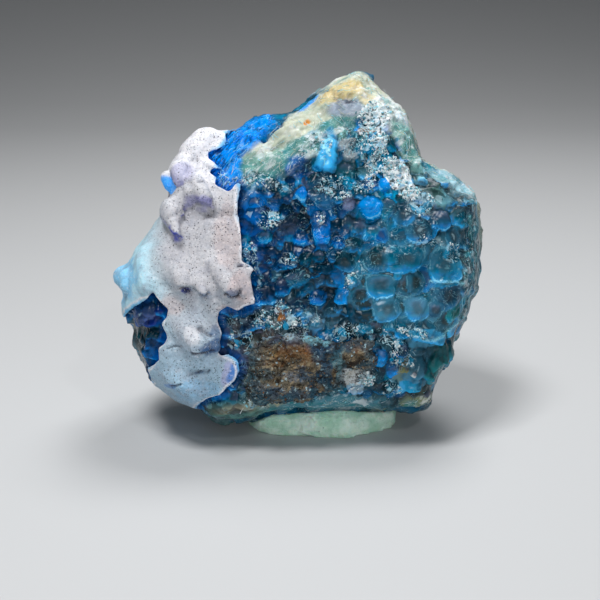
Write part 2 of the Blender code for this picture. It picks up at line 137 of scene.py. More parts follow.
# Washes of colour over the front, each as (x, z, half width, half height, turn, colour, strength).
WASHES = [
    (0, 20, 40, 40, 0, "sea", 1.0),
    (-2, 20, 9, 14, 0, "royal", 0.8),
    (-5.4, 21, 2.4, 9, 0, "royal", 1.0),
    (1, 13, 8, 6, 0, "deep", 0.5),
    (4, 15, 6, 4, 0, "sea", 0.5),
    (-6, 10, 3, 8, 0, "ink", 0.75),
    (-1, 24, 3, 4, 0, "deep", 0.6),
    (15, 16, 9, 12, 0, "teal", 0.85),
    (9, 19, 4, 6, 0, "sea", 0.6),
    (17, 17, 5, 4, 0, "slate", 0.6),
    (20.5, 15, 2.0, 9, 0, "grey_teal", 0.5),
    (6, 31, 9, 5, 0, "teal", 0.7),
    (15, 5, 5, 5, -30, "haze", 0.8),
    (16.6, 6, 1.4, 4, -20, "sea_green", 0.6),
    (17, 26.0, 6, 2.4, -28, "mist", 0.9),
    (15.0, 26.5, 2.4, 1.8, -10, "rind_green", 0.8),
    (14.0, 28.0, 1.6, 1.0, -20, "pale_cyan", 0.7),
    (14.0, 24.2, 1.8, 2.0, -20, "lavender_grey", 0.6),
    (0, 31, 9, 2.4, 35, "rind_green", 0.85),
    (-2.5, 32.0, 8.5, 1.2, 36, "rind_beige", 0.9),
    (-5.5, 28.6, 3.5, 1.6, 25, "rind_green", 0.9),
    (-4.5, 26.8, 3.2, 1.2, 0, "teal", 0.8),
    (1.5, 35.5, 4, 2.2, 30, "rind_beige", 0.9),
    (7.8, 38.6, 5.5, 2.6, -20, "rind_beige", 1.0),
    (5.2, 38.0, 3.0, 1.5, 30, "gold", 0.9),
    (9.0, 36.6, 3.0, 0.9, -30, "gold", 0.6),
    (11.0, 35.0, 3.0, 2.2, -60, "chalk", 0.7),
    (12.6, 31.5, 3.5, 1.4, -65, "rind_green", 0.8),
    (5.2, 36.0, 2.2, 1.4, 10, "lavender_grey", 0.95),
    (-6.5, 32.8, 5.0, 1.9, 42, "azure", 1.0),
    (-9.2, 28.5, 2.4, 3.6, 15, "azure", 1.0),
    (0.8, 37.0, 1.6, 0.35, 45, "azure", 0.9),
    (-0.2, 28.5, 1.8, 2.0, 0, "royal", 0.9),
    (0.8, 34.2, 0.45, 0.28, 30, "orange", 1.0),
    (7.6, 33.0, 0.4, 0.6, 0, "orange", 1.0),
    (0, 11.2, 5.5, 1.3, 0, "pale_cyan", 0.35),
    (-3, 6, 6.5, 5, 0, "brown", 0.85),
    (-1.8, 11.3, 0.5, 1.2, 10, "orange", 0.8),
    (6.5, 7.4, 2.2, 3.0, 0, "black_brown", 0.8),
    (9.2, 6.9, 1.2, 1.0, 0, "azure", 0.95),
    (10.8, 5.0, 1.1, 1.1, 0, "azure", 0.95),
    (12.2, 5.0, 0.8, 1.8, -10, "olive", 0.95),
    (13.1, 4.8, 0.3, 0.6, -30, "chalk", 1.0),
    (6.5, 4.2, 2.0, 1.2, 0, "chalk", 0.6),
    (12.3, 2.8, 1.1, 1.0, 0, "sky", 0.7),
    (3.2, 30.4, 1.0, 2.8, -10, "sky", 0.9),
    (-4.6, 24.6, 1.5, 2.6, 10, "cobalt", 0.7),
    (18.0, 27.2, 3.6, 1.2, -28, "frost", 0.45),
    (13.6, 1.2, 3.0, 1.0, 15, "olive", 0.85),
    (5, 2.0, 5, 1.2, 0, "sea", 0.8),
    (4, 0.8, 9, 1.0, 0, "grey_teal", 0.9),
    (-4, 1.2, 2.4, 0.9, 0, "gold", 0.85),
    (-8.5, -0.2, 4.5, 1.8, 5, "rind_green", 0.95),
    (-7.0, 0.4, 3.0, 0.7, 10, "tan", 0.7),
    (-8.2, 2.6, 1.6, 1.8, 20, "sea", 0.8),
    (-17.8, 12.4, 1.4, 0.6, 20, "dusk", 0.7),
    (-17.0, 11.2, 2.4, 1.2, 12, "indigo", 0.95),
    (-15.4, 11.6, 0.8, 1.5, 10, "indigo", 0.9),
    (-16.6, 8.6, 1.8, 1.4, 0, "deep", 0.9),
    (-16.4, 6.6, 1.5, 2.0, 10, "azure", 0.9),
    (-19.6, 8.6, 1.3, 2.4, 15, "bottle", 0.85),
    (-18.6, 4.6, 1.1, 1.6, 25, "grey_teal", 0.7),
]

# The broad ones, which also tint the rock's border.
BROAD_WASHES = WASHES[:20]

# Places on the front with a surface of their own, each as (x, z, half width, half height, turn).
RIND = [
    (0, 31, 9, 2.0, 35), (-2.5, 31.5, 8.5, 1.5, 36), (-5.5, 28.6, 3.5, 1.6, 25), (1.5, 35.5, 4, 2.2, 30),
    (7.6, 39, 5.5, 2.4, -15), (11.8, 35.5, 4, 2.2, -50), (18.5, 28, 5, 1.4, -22), (13, 31.5, 3, 1.4, -60),
    (2.0, 0.8, 9.0, 1.0, 0), (13.5, 0.9, 2.6, 0.8, 15),
]
STREAKED = [(-6.5, 32.8, 5.0, 1.9, 42), (-9.2, 28.5, 2.2, 3.4, 15)]
SMOOTH = [(-5.6, 21.5, 2.0, 6.5, 0), (-7.5, 0.3, 4, 1.6, 0), (16, 25.3, 2.6, 1.2, -10)]
POWDERY = [
    (9.0, 35.0, 1.7, 1.7, -30), (9.4, 31.8, 0.9, 1.4, 10), (11.3, 28.2, 1.8, 2.0, 15),
    (12.8, 26.2, 1.4, 1.2, -30), (6.4, 4.4, 2.0, 1.2, 0),
]

# Places full of fine crinkled edges, in the same form.
CRINKLED = [
    (-4.0, 27.0, 3.6, 1.3, 0), (4.6, 26.4, 2.0, 1.6, 0), (1.0, 31.2, 2.6, 1.2, 30),
    (8.4, 32.2, 1.6, 2.6, 20), (9.5, 29.4, 2.6, 1.8, 20), (8.2, 26.8, 1.3, 1.2, 0),
    (-3.4, 22.6, 1.4, 1.2, 0), (2.4, 22.8, 0.8, 1.2, -20), (-1.6, 17.8, 1.1, 1.1, 0),
    (-6.0, 18.0, 1.0, 2.4, 0), (5.6, 15.2, 0.7, 1.2, -25), (-2.5, 11.0, 5.0, 1.4, 0),
    (2.9, 30.4, 1.0, 2.4, -10), (14.0, 24.4, 1.4, 1.6, -20), (6.4, 9.0, 2.6, 1.5, 0),
    (12.6, 9.5, 2.2, 0.6, -12), (10.4, 8.2, 1.6, 1.5, 0), (6.6, 3.6, 2.6, 1.4, 0), (10.8, 2.8, 1.0, 1.2, 0),
    (3.0, 5.2, 2.0, 2.6, 0), (-4.6, 1.4, 2.6, 0.9, 0), (15.4, 19.9, 1.5, 1.0, -10),
    (18.0, 18.8, 1.2, 1.0, 0), (-6.6, 8.4, 1.4, 1.4, 0), (11.6, 6.6, 1.6, 1.2, 0),
]
ROUGH_EDGE = [(20.8, 17, 1.8, 9.5, 0), (6.0, 31.6, 2.0, 2.6, -5)]

# Places in the same form where the stone is painted as glowing, with the cells' dark tops lightened and pale
# cyan slivers, and thin pale ridges, each from one (x, z) to another.
GLOWING = [
    (3.1, 30.3, 1.15, 2.7, -10), (8.2, 23.8, 1.5, 1.4, 0), (9.8, 26.8, 0.9, 0.9, 0), (0.4, 25.7, 1.1, 1.1, 0),
    (13.4, 12.3, 1.7, 1.6, 0), (17.0, 15.2, 1.8, 0.9, 0), (12.0, 3.6, 2.0, 1.6, 0),
]
RIDGES = [
    ((11.5, 9.6), (12.9, 9.2)), ((12.9, 9.2), (15.0, 8.5)), ((15.0, 8.5), (16.6, 9.0)),
    ((16.6, 9.0), (19.5, 11.2)), ((15.0, 15.3), (19.0, 15.2)),
]

# Hazy cells, and calm places that stay free of dark cells and loose lines, in the same form.
HAZY = [(13.5, 16.5, 8.0, 6.5, -10), (13.5, 12.0, 6.5, 3.0, 0), (8.0, 15.5, 4.0, 3.5, 0)]
CALM = [
    (-17.0, 9.0, 4.5, 6.0, 0), (-6.8, 21.5, 1.9, 6.0, 0), (1.8, 36.0, 9.0, 2.0, 35), (15.0, 5.5, 3.6, 3.4, 0),
    (5.4, 36.4, 3.0, 2.0, 10),
]

# Cells that stand out, each as (x, z, radius, stretch, turn, squareness, rise, glow, colour); glow is the
# strength of the painted glow at the lower rim.
CELLS = [
    (0.4, 25.7, 1.0, 1.05, 0, 2.0, 1.3, 1.0, "cobalt"),
    (2.7, 25.4, 1.3, 1.35, 10, 2.3, 1.0, 0.1, "slate"),
    (3.1, 30.2, 1.05, 2.7, -10, 8.0, 1.3, 0.4, "sky"),
    (8.2, 23.9, 1.40, 1.0, 0, 2.2, 1.5, 1.0, "azure"),
    (8.1, 26.6, 1.05, 0.95, 0, 2.2, 0.9, 0.5, "royal"),
    (9.8, 26.8, 0.75, 1.0, 10, 2.8, 1.1, 0.9, "azure"),
    (10.3, 25.4, 0.4, 0.8, 0, 4.0, 0.8, 0.9, "bright_cyan"),
    (7.4, 29.7, 0.4, 1.0, 0, 5.0, 0.7, 0.9, "pale_cyan"),
    (2.4, 21.6, 1.15, 2.0, 6, 3.4, 1.1, 0.6, "cobalt"),
    (-0.1, 20.4, 0.85, 0.8, 0, 4.5, 1.0, 0.6, "cobalt"),
    (0.5, 22.6, 0.8, 1.0, 0, 2.2, 0.7, 0.0, "ink"),
    (-4.0, 20.4, 0.8, 0.9, 15, 3.0, 0.8, 0.7, "bright_cyan"),
    (4.5, 19.9, 0.8, 1.1, 0, 2.2, 0.9, 0.8, "royal"),
    (6.9, 21.7, 0.95, 1.0, 0, 2.2, 0.9, 0.5, "slate"),
    (8.4, 21.2, 1.0, 1.0, 0, 2.2, 0.8, 0.4, "sea"),
    (5.6, 24.4, 0.95, 1.1, 0, 2.2, 0.8, 0.1, "mauve"),
    (-1.6, 17.9, 1.25, 1.0, 0, 2.1, 1.0, 0.4, "deep"),
    (0.5, 18.0, 0.95, 1.0, 0, 2.1, 0.8, 0.2, "dark_teal"),
    (2.1, 18.2, 0.8, 1.0, 0, 2.2, 0.8, 0.3, "dark_teal"),
    (5.1, 17.6, 1.25, 1.0, 0, 2.4, 0.9, 0.5, "dark_teal"),
    (8.8, 17.9, 1.8, 0.9, 0, 2.4, 0.9, 0.4, "dark_teal"),
    (6.0, 15.7, 1.1, 1.0, 0, 2.4, 0.8, 0.3, "slate"),
    (4.5, 13.7, 0.95, 1.0, 0, 3.6, 0.9, 0.9, "azure"),
    (2.0, 13.5, 1.0, 1.0, 0, 2.4, 0.8, 0.5, "cobalt"),
    (-2.0, 14.8, 1.1, 1.0, 0, 2.3, 0.9, 0.5, "deep"),
    (12.0, 23.0, 1.5, 1.0, 0, 2.4, 1.0, 0.8, "slate"),
    (13.7, 21.2, 1.75, 0.95, -12, 2.6, 1.0, 1.0, "slate"),
    (16.3, 22.6, 1.5, 1.0, -20, 2.4, 0.9, 0.6, "slate"),
    (19.0, 22.5, 1.0, 1.0, 10, 2.6, 0.9, 0.7, "sea"),
    (9.3, 20.7, 0.95, 1.0, 0, 2.4, 0.8, 0.7, "royal"),
    (11.9, 17.9, 2.6, 0.62, 0, 2.6, 1.0, 0.9, "sea"),
    (16.8, 17.2, 2.0, 1.05, 0, 4.5, 1.1, 1.0, "sea"),
    (17.0, 15.3, 1.5, 0.40, 0, 7.0, 1.0, 0.8, "sea"),
    (9.2, 14.8, 1.75, 0.8, 0, 4.0, 1.1, 1.0, "sea"),
    (11.2, 16.0, 0.55, 0.8, 0, 2.6, 0.9, 1.0, "bright_cyan"),
    (13.4, 15.3, 1.2, 1.2, 0, 2.8, 0.8, 0.2, "dark_teal"),
    (13.4, 12.3, 1.55, 1.0, 15, 3.0, 1.2, 1.0, "haze"),
    (9.9, 12.2, 1.7, 0.85, 20, 2.8, 1.0, 0.8, "haze"),
    (15.6, 12.1, 1.0, 1.1, 0, 2.4, 0.9, 0.1, "slate"),
    (17.2, 13.6, 2.0, 0.8, 20, 2.6, 0.8, 0.3, "slate"),
    (18.0, 11.6, 1.4, 0.8, 35, 2.6, 0.8, 0.4, "sea_green"),
    (8.7, 10.1, 0.85, 0.9, 0, 5.0, 0.7, 0.0, "ink"),
    (11.7, 9.6, 0.9, 1.0, 0, 2.4, 0.8, 0.8, "sea"),
    (11.7, 7.4, 1.1, 0.9, 0, 2.1, 0.8, 0.6, "deep"),
    (9.2, 6.9, 0.85, 0.9, 0, 2.2, 1.1, 0.5, "azure"),
    (10.8, 4.9, 0.75, 1.3, 20, 3.5, 0.9, 0.3, "azure"),
    (10.6, 2.9, 1.0, 1.0, 0, 2.1, 1.0, 0.6, "dark_teal"),
    (12.4, 2.8, 1.0, 0.9, 0, 3.5, 0.8, 0.2, "sky"),
    (5.2, 36.0, 2.0, 0.62, 10, 2.2, 0.9, 0.0, "lavender_grey"),
    (14.3, 27.7, 0.6, 1.0, 0, 5.0, 0.8, 0.4, "pale_cyan"),
    (13.6, 5.4, 1.2, 2.3, -10, 6.0, 0.9, 0.2, "haze"),
    (16.3, 5.8, 1.3, 2.6, -20, 6.0, 0.9, 0.4, "sea_green"),
    (12.0, 5.4, 0.6, 2.2, -15, 4.0, 1.0, 0.1, "olive"),
    (13.1, 4.9, 0.35, 1.2, -30, 5.0, 1.2, 0.0, "chalk"),
    (13.0, 2.9, 1.4, 0.7, 10, 4.5, 0.8, 0.6, "bright_cyan"),
    (15.2, 8.9, 2.4, 0.35, -8, 3.5, 0.7, 0.4, "sky"),
    (18.2, 9.9, 1.6, 0.4, 38, 3.5, 0.7, 0.4, "sky"),
    (-18.5, 11.6, 2.0, 0.62, 18, 6.0, 1.2, 0.0, "dusk"),
    (-17.2, 10.9, 1.3, 0.60, 20, 6.0, 1.3, 0.1, "indigo"),
    (-15.9, 12.6, 0.8, 1.6, -12, 5.0, 1.3, 0.4, "indigo"),
    (-14.8, 11.5, 0.9, 1.1, 10, 5.0, 1.0, 0.5, "deep"),
    (-17.2, 9.3, 1.4, 0.6, 0, 3.5, 0.6, 0.1, "dark_teal"),
    (-15.6, 9.2, 0.9, 1.3, -10, 3.5, 0.8, 0.3, "royal"),
    (-16.8, 7.3, 1.2, 1.4, 5, 3.5, 0.8, 0.7, "cobalt"),
    (-16.2, 5.6, 0.8, 1.2, 0, 3.5, 0.8, 0.8, "azure"),
    (-19.0, 7.6, 1.0, 2.0, 14, 3.0, 0.3, 0.0, "slate"),
    (-18.0, 4.6, 0.7, 1.6, 20, 3.5, 0.3, 0.0, "slate"),
    (-2.1, 11.7, 0.45, 2.6, 0, 3.0, 0.6, 0.0, "orange"),
]

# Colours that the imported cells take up.
CELL_TINTS = (
    "bright_cyan", "azure", "sea", "cobalt", "slate", "deep", "dark_teal", "ink", "ink", "umber", "bottle",
    "grey_teal",
)

# Washes over the brown rock, in the same form, and crumbly patches laid over it last.
ROCK_WASHES = [
    (0, 3.5, 7, 2.6, 0, "grey_brown", 0.9),
    (-4.5, 3.6, 2.4, 1.6, 0, "brown", 0.8),
    (-1.6, 7.4, 3.8, 1.7, -4, "rust", 0.7),
    (-3.9, 7.0, 2.0, 0.7, 12, "gold", 0.4),
    (1.0, 7.0, 1.6, 0.8, -12, "rust", 0.5),
    (-5.2, 4.4, 1.8, 1.0, 0, "grey_teal", 0.4),
    (-3.0, 2.6, 2.4, 0.9, 0, "lavender_grey", 0.4),
    (-0.8, 4.4, 2.2, 0.6, 5, "lavender_grey", 0.5),
    (2.9, 5.0, 1.1, 3.6, 16, "slate", 0.9),
    (0.9, 4.6, 1.4, 0.9, -20, "slate", 0.6),
    (4.4, 5.6, 0.8, 1.8, 0, "grey_teal", 0.8),
    (8.8, 5.4, 1.0, 3.2, 0, "deep", 0.9),
    (0.5, 2.4, 6.0, 0.8, 3, "slate", 0.8),
    (4.8, 2.6, 2.4, 1.0, 0, "grey_teal", 0.7),
    (6.9, 7.9, 1.0, 1.3, 25, "rust", 0.9),
    (7.0, 5.9, 1.7, 0.8, 8, "black_brown", 0.9),
    (-6.0, 6.5, 0.8, 1.6, 0, "grey_teal", 0.6),
]
ROCK_PATCHES = [
    (1.6, 9.4, 2.8, 1.1, 0, "pale_cyan", 0.8),
    (-4.2, 9.2, 1.5, 0.6, 15, "steel_sky", 0.7),
    (6.4, 4.2, 1.8, 1.0, 0, "chalk", 0.9),
    (-0.6, 8.8, 1.0, 0.5, 0, "lavender_grey", 0.7),
]

# Places where blue stone shows through the rock.
ROCK_BLUES = [
    (2.9, 5.2, 1.1, 3.6, 16), (4.4, 5.6, 0.8, 1.8, 0), (8.9, 5.4, 1.2, 3.4, 0), (1.5, 2.3, 7.0, 0.9, 3),
]

# Painted shade and glow under the crust's drips and knobs, as colour which shows only where the surface turns
# down.
CRUST_TIPS = [
    (-15.2, 26.7, 1.8, 1.1, -32, "azure", 0.95),
    (-14.0, 27.6, 1.5, 1.6, 0, "lilac", 0.8),
    (-10.9, 24.7, 1.1, 0.9, -40, "violet", 0.6),
    (-13.7, 23.1, 0.7, 0.7, 0, "violet", 0.85),
    (-14.2, 21.0, 1.1, 1.2, -30, "blue_violet", 1.0),
    (-10.8, 13.8, 0.7, 0.5, 0, "steel", 0.5),
    (-7.4, 13.8, 1.1, 0.6, 0, "steel", 0.6),
    (-10.0, 8.2, 1.8, 1.3, 25, "steel", 0.9),
]

# Washes over the crust, in the same form.
CRUST_WASHES = [
    (-8.2, 20.5, 2.0, 4.0, 0, "shell_pink", 0.6),
    (-6.6, 14.5, 1.4, 2.6, 0, "shell_pink", 0.8),
    (-14.6, 12.6, 1.4, 1.2, -40, "shell_pink", 0.6),
    (-13.9, 27.9, 1.5, 1.5, 0, "lilac", 0.55),
    (-12.6, 22.6, 3.0, 0.7, 0, "porcelain_grey", 0.5),
    (-21.3, 15.6, 2.6, 3.0, 0, "sky", 0.5),
    (-12.2, 9.0, 1.0, 1.3, 25, "porcelain", 0.7),
    (-8.0, 12.2, 1.6, 0.5, 0, "shell_pink", 0.6),
    (-12.0, 2.5, 3.0, 1.6, 10, "sky", 0.25),
]

# Small knobs and drips on the crust, each as start (x, z), end (x, z), the two radii and the two heights.
CRUST_LUMPS = [
    ((-15.9, 27.8), (-15.4, 26.9), (0.85, 0.85), (0.6, 0.7)),
    ((-14.2, 28.6), (-13.9, 27.4), (1.15, 1.0), (0.5, 0.8)),
    ((-13.0, 26.3), (-12.8, 26.0), (0.60, 0.55), (0.6, 0.7)),
    ((-12.4, 27.0), (-10.9, 25.0), (1.25, 0.95), (0.5, 1.1)),
    ((-12.4, 25.6), (-15.1, 23.8), (1.10, 1.15), (0.7, 1.0)),
    ((-15.0, 23.3), (-14.7, 22.8), (1.40, 1.30), (0.9, 1.0)),
    ((-14.0, 23.9), (-13.8, 23.1), (0.50, 0.42), (0.9, 1.2)),
    ((-14.6, 22.0), (-13.9, 20.6), (0.80, 0.38), (0.9, 0.9)),
    ((-20.3, 15.9), (-20.2, 15.0), (1.2, 1.1), (0.3, 0.4)),
    ((-12.0, 15.9), (-10.9, 14.0), (0.80, 0.50), (0.1, 0.6)),
    ((-9.6, 17.2), (-7.8, 14.4), (1.25, 1.05), (0.2, 0.8)),
    ((-14.2, 16.4), (-13.1, 14.8), (1.2, 0.9), (0.2, 0.5)),
    ((-12.9, 9.8), (-11.2, 7.8), (1.2, 1.1), (0.3, 0.8)),
    ((-11.0, 8.6), (-9.9, 7.9), (1.0, 0.9), (0.2, 0.4)),
    ((-11.0, 29.2), (-8.9, 28.2), (0.50, 0.20), (0.3, 0.3)),
]

# Chips and cracks that show blue through the crust, and painted shade in steel blue and indigo on the nose's
# flank and under some lips, in the same form.
CRUST_CHIPS = [
    (-15.3, 26.75, 1.8, 0.85, -35, "azure", 0.95),
    (-10.9, 24.7, 0.7, 0.6, -40, "lilac", 0.6),
    (-13.0, 14.3, 0.62, 0.36, 12, "indigo", 1.0),
    (-9.7, 8.0, 1.3, 0.8, 15, "steel", 0.85),
    (-9.6, 9.7, 0.6, 0.8, 0, "steel", 0.6),
    (-15.2, 3.1, 1.0, 0.35, 8, "cobalt", 0.5),
    (-8.4, 4.6, 0.7, 1.6, -15, "lilac", 0.7),
    (-7.5, 4.9, 0.8, 1.6, -25, "cobalt", 0.85),
    (-6.4, 17.1, 0.5, 0.22, -5, "indigo", 0.8),
    (-11.7, 4.8, 0.8, 0.12, 12, "indigo", 0.6),
]

# Creases in the crust, each from one (x, z) to another, with a half width, a depth and the darkness of the
# shade painted in it.
CRUST_CREASES = [
    ((-13.6, 23.2), (-7.9, 23.0), 0.6, 0.35, 0.2),
    ((-12.4, 29.6), (-13.0, 27.0), 0.5, 0.25, 0.1),
    ((-11.8, 26.8), (-11.1, 26.9), 0.1, 0.20, 0.5),
    ((-12.9, 4.4), (-11.8, 4.8), 0.10, 0.25, 0.4),
    ((-11.9, 4.75), (-11.5, 4.9), 0.11, 0.35, 0.7),
    ((-11.5, 4.9), (-10.6, 4.9), 0.09, 0.25, 0.4),
    ((-10.6, 4.9), (-10.4, 5.1), 0.11, 0.30, 0.7),
    ((-15.4, 3.1), (-14.6, 3.1), 0.11, 0.30, 0.8),
    ((-14.6, 3.1), (-13.8, 3.4), 0.10, 0.30, 0.7),
    ((-15.3, 7.6), (-14.4, 7.9), 0.10, 0.25, 0.4),
    ((-14.4, 7.9), (-13.5, 7.9), 0.10, 0.25, 0.3),
    ((-12.6, 4.7), (-10.6, 5.0), 0.30, 0.25, 0.2),
    ((-11.4, 10.0), (-10.0, 9.2), 0.20, 0.35, 0.5),
    ((-12.4, 7.2), (-11.4, 6.9), 0.16, 0.45, 0.9),
    ((-11.4, 6.9), (-9.9, 7.3), 0.16, 0.45, 0.9),
    ((-13.6, 14.5), (-12.4, 14.5), 0.16, 0.60, 0.5),
    ((-13.0, 14.2), (-12.5, 14.0), 0.18, 0.60, 0.8),
    ((-11.4, 13.8), (-10.8, 13.45), 0.10, 0.35, 0.9),
    ((-10.8, 13.45), (-10.3, 13.9), 0.10, 0.35, 0.9),
    ((-8.6, 13.8), (-7.6, 13.25), 0.15, 0.50, 1.0),
    ((-7.6, 13.25), (-6.8, 13.5), 0.17, 0.50, 1.0),
    ((-6.8, 13.5), (-6.6, 14.3), 0.14, 0.50, 1.0),
    ((-7.0, 17.1), (-5.9, 17.0), 0.15, 0.35, 0.9),
    ((-14.2, 20.6), (-13.7, 20.3), 0.12, 0.30, 0.6),
    ((-12.0, 24.3), (-10.4, 23.9), 0.20, 0.25, 0.25),
]

# Soft square lights, each as name, place, size and power, in metres and watts.
LAMPS = [
    ("key", (-0.06, -0.07, 0.26), 0.07, 0.48),
    ("top", (0.05, 0.08, 0.24), 0.10, 0.34),
    ("fill", (0.16, -0.24, 0.08), 0.14, 0.10),
    ("low", (-0.02, -0.22, 0.015), 0.12, 0.13),
    ("spark", (0.06, -0.14, 0.17), 0.012, 0.03),
]

# Where the camera looks on the face, and how far it stands off, in metres.
FACE_CENTRE = Vector((0.0, -5.0, 13.2))
CAMERA_AWAY = 0.140

# Fixed random numbers at the points of a lattice, for smooth noise.
LATTICE = np.random.default_rng(11).uniform(-1, 1, (32, 32, 32))


def linear(colour):
    """Turn a named screen colour into the light that a material works with, and pass on any other."""
    if not isinstance(colour, str):
        return colour
    screen = np.array(COLOURS[colour])
    return np.where(screen < 0.04, screen / 12.92, ((screen + 0.055) / 1.055) ** 2.4)


def eased(low, high, values):
    """Rise smoothly from 0 to 1 between two values."""
    share = np.clip((values - low) / (high - low), 0, 1)
    return share * share * (3 - 2 * share)


def noise(points, size, octaves=1, shift=0.0):
    """Smooth noise from -1 to 1, with lumps of about this size."""
    total = np.zeros(len(points))
    for octave in range(octaves):
        place = points / size * 2**octave + shift + 7.3 * octave
        cell = np.floor(place).astype(int)
        part = place - cell
        part = part * part * (3 - 2 * part)
        for corner in np.ndindex(2, 2, 2):
            index = (cell + corner) % 32
            weight = np.prod(np.where(corner, part, 1 - part), axis=1)
            total += weight * LATTICE[index[:, 0], index[:, 1], index[:, 2]] / 2**octave
    return total


def shaken(points, size, octaves, shifts):
    """Smooth noise in three directions."""
    return np.column_stack([noise(points, size, octaves, shift) for shift in shifts])


def read(made, layer="co"):
    """An object's vertex places or normals as rows of numbers."""
    values = np.empty(len(made.data.vertices) * 3, np.float32)
    made.data.vertices.foreach_get(layer, values)
    return values.reshape(-1, 3).astype(float)


def surface(made):
    """An object's vertex places and its normals."""
    return read(made), read(made, "normal")


def moved(made, points):
    """Put an object's vertices at these places."""
    made.data.vertices.foreach_set("co", points.astype(np.float32).ravel())
    made.data.update()


def painted(made, **layers):
    """Keep colours or numbers for each vertex, for the materials to read."""
    for name, values in layers.items():
        if values.ndim == 2:
            layer = made.data.attributes.new(name, "FLOAT_COLOR", "POINT")
            values = np.column_stack((values, np.ones(len(values))))
            layer.data.foreach_set("color", values.astype(np.float32).ravel())
        else:
            layer = made.data.attributes.new(name, "FLOAT", "POINT")
            layer.data.foreach_set("value", values.astype(np.float32))


def applied(made, *modifiers):
    """Add modifiers, each as (type, settings), and turn the result into a plain mesh."""
    for kind, settings in modifiers:
        modifier = made.modifiers.new(kind.title(), kind)
        for setting, value in settings.items():
            setattr(modifier, setting, value)
    graph = bpy.context.evaluated_depsgraph_get()
    mesh = bpy.data.meshes.new_from_object(made.evaluated_get(graph))
    made.modifiers.clear()
    made.data = mesh
    return made


def linked(name, data):
    """Add a mesh, a camera or a light to the scene as an object."""
    made = bpy.data.objects.new(name, data)
    bpy.context.scene.collection.objects.link(made)
    return made


def from_form(name, form):
    """Add a bmesh to the scene as an object with smooth shading."""
    mesh = bpy.data.meshes.new(name)
    form.to_mesh(mesh)
    form.free()
    mesh.shade_smooth()
    return linked(name, mesh)


def on_front(tree, x, z):
    """The place and normal where a line straight into the stone first meets it, or passes closest."""
    place, normal, _, _ = tree.ray_cast(Vector((x, -40.0, z)), Vector((0.0, 1.0, 0.0)))
    if place is None:
        place, normal, _, _ = tree.find_nearest(Vector((x, -8.0, z)))
    return np.array(place), np.array(normal)


def refined(name, node, grain, smoothing, lumps=()):
    """Copy a solid of the frame as one fine even skin in the stone's own millimetres, with lumps on it."""
    form = bmesh.new()
    form.from_mesh(node.data)
    bmesh.ops.remove_doubles(form, verts=form.verts, dist=0.000001)
    bmesh.ops.transform(form, matrix=TO_STONE, verts=form.verts)
    tree = BVHTree.FromBMesh(form)
    for start, end, radii, heights in lumps:
        first = np.array((*start, radii[0], heights[0]))
        last = np.array((*end, radii[1], heights[1]))
        for share in np.linspace(0, 1, 6):
            x, z, radius, height = first * (1 - share) + last * share
            centre = Matrix.Translation((x, on_front(tree, x, z)[0][1] - height + radius, z))
            bmesh.ops.create_icosphere(form, subdivisions=3, radius=radius, matrix=centre)
    return applied(
        from_form(name, form),
        ("REMESH", {"mode": "VOXEL", "voxel_size": grain, "use_smooth_shade": True}),
        ("SMOOTH", {"factor": 0.5, "iterations": smoothing}),
    )


def evened(made, values, turns=1):
    """Average a value with its neighbours' along the edges."""
    edges = np.empty(len(made.data.edges) * 2, np.int32)
    made.data.edges.foreach_get("vertices", edges)
    first, second = edges.reshape(-1, 2).T
    count = np.bincount(edges, minlength=len(values)).astype(float)
    for _ in range(turns):
        total = np.bincount(first, values[second], len(values))
        total += np.bincount(second, values[first], len(values))
        values = (values + total / np.maximum(count, 1)) / 2
    return values


def finer_front(made, facing, cuts):
    """Split the faces that look towards the viewer further, and soften them."""
    form = bmesh.new()
    form.from_mesh(made.data)
    form.normal_update()
    edges = {edge for face in form.faces if face.normal.y < -facing for edge in face.edges}
    bmesh.ops.subdivide_edges(form, edges=list(edges), cuts=cuts, use_grid_fill=True)
    fine = [vertex for vertex in form.verts if vertex.normal.y < -facing]
    for _ in range(3):
        bmesh.ops.smooth_vert(form, verts=fine, factor=0.5, use_axis_x=True, use_axis_y=True, use_axis_z=True)
    form.to_mesh(made.data)
    form.free()
    made.data.shade_smooth()
    return made


def nearest(made):
    """A search for the closest place on an object."""
    form = bmesh.new()
    form.from_mesh(made.data)
    tree = BVHTree.FromBMesh(form)
    form.free()
    return tree


def searchable(points):
    """A search for the closest of many points."""
    tree = KDTree(len(points))
    for index, point in enumerate(points):
        tree.insert(point, index)
    tree.balance()
    return tree


def within(points, made, reach):
    """A search for the closest place on an object, and the points that may lie within reach of it."""
    low = read(made).min(axis=0) - reach
    high = read(made).max(axis=0) + reach
    return nearest(made), np.nonzero(((points > low) & (points < high)).all(axis=1))[0]


def drawn_to(made, others, reach):
    """Close the narrow gaps to the neighbours, so that the stone reads as one."""
    points = read(made)
    for other in others:
        tree, near = within(points, other, reach)
        for index in near:
            place, normal, _, _ = tree.find_nearest(Vector(points[index]), reach)
            if place is not None:
                points[index] = place - normal * SEAM_DEPTH
    moved(made, points)


def distances(points, made, reach):
    """How far each point is from an object, up to a reach."""
    tree, near = within(points, made, reach)
    away = np.full(len(points), reach)
    for index in near:
        found = tree.find_nearest(Vector(points[index]), reach)
        if found[0] is not None:
            away[index] = found[3]
    return away


def turned(x, z, turn):
    """Places on the front, along and across a direction that is turned by some degrees."""
    angle = math.radians(turn)
    return x * math.cos(angle) + z * math.sin(angle), z * math.cos(angle) - x * math.sin(angle)


def stretched(points, turn, along):
    """Squeeze space along one direction of the front, so that noise there runs in long streaks."""
    x, y, z = points.T
    x, z = turned(x, z, turn)
    return np.column_stack((x / along, y, z))


def patch(points, ragged, x, z, wide, high, turn):
    """How much each point belongs to an oval patch of the front with a ragged border, from 0 to 1."""
    along, across = turned(points[:, 0] - x, points[:, 2] - z, turn)
    return eased(1.15, 0.75, np.sqrt((along / wide) ** 2 + (across / high) ** 2) + ragged)


def any_patch(points, ragged, patches):
    """The strongest of several patches at each point."""
    return np.max([patch(points, ragged, *place) for place in patches], axis=0)


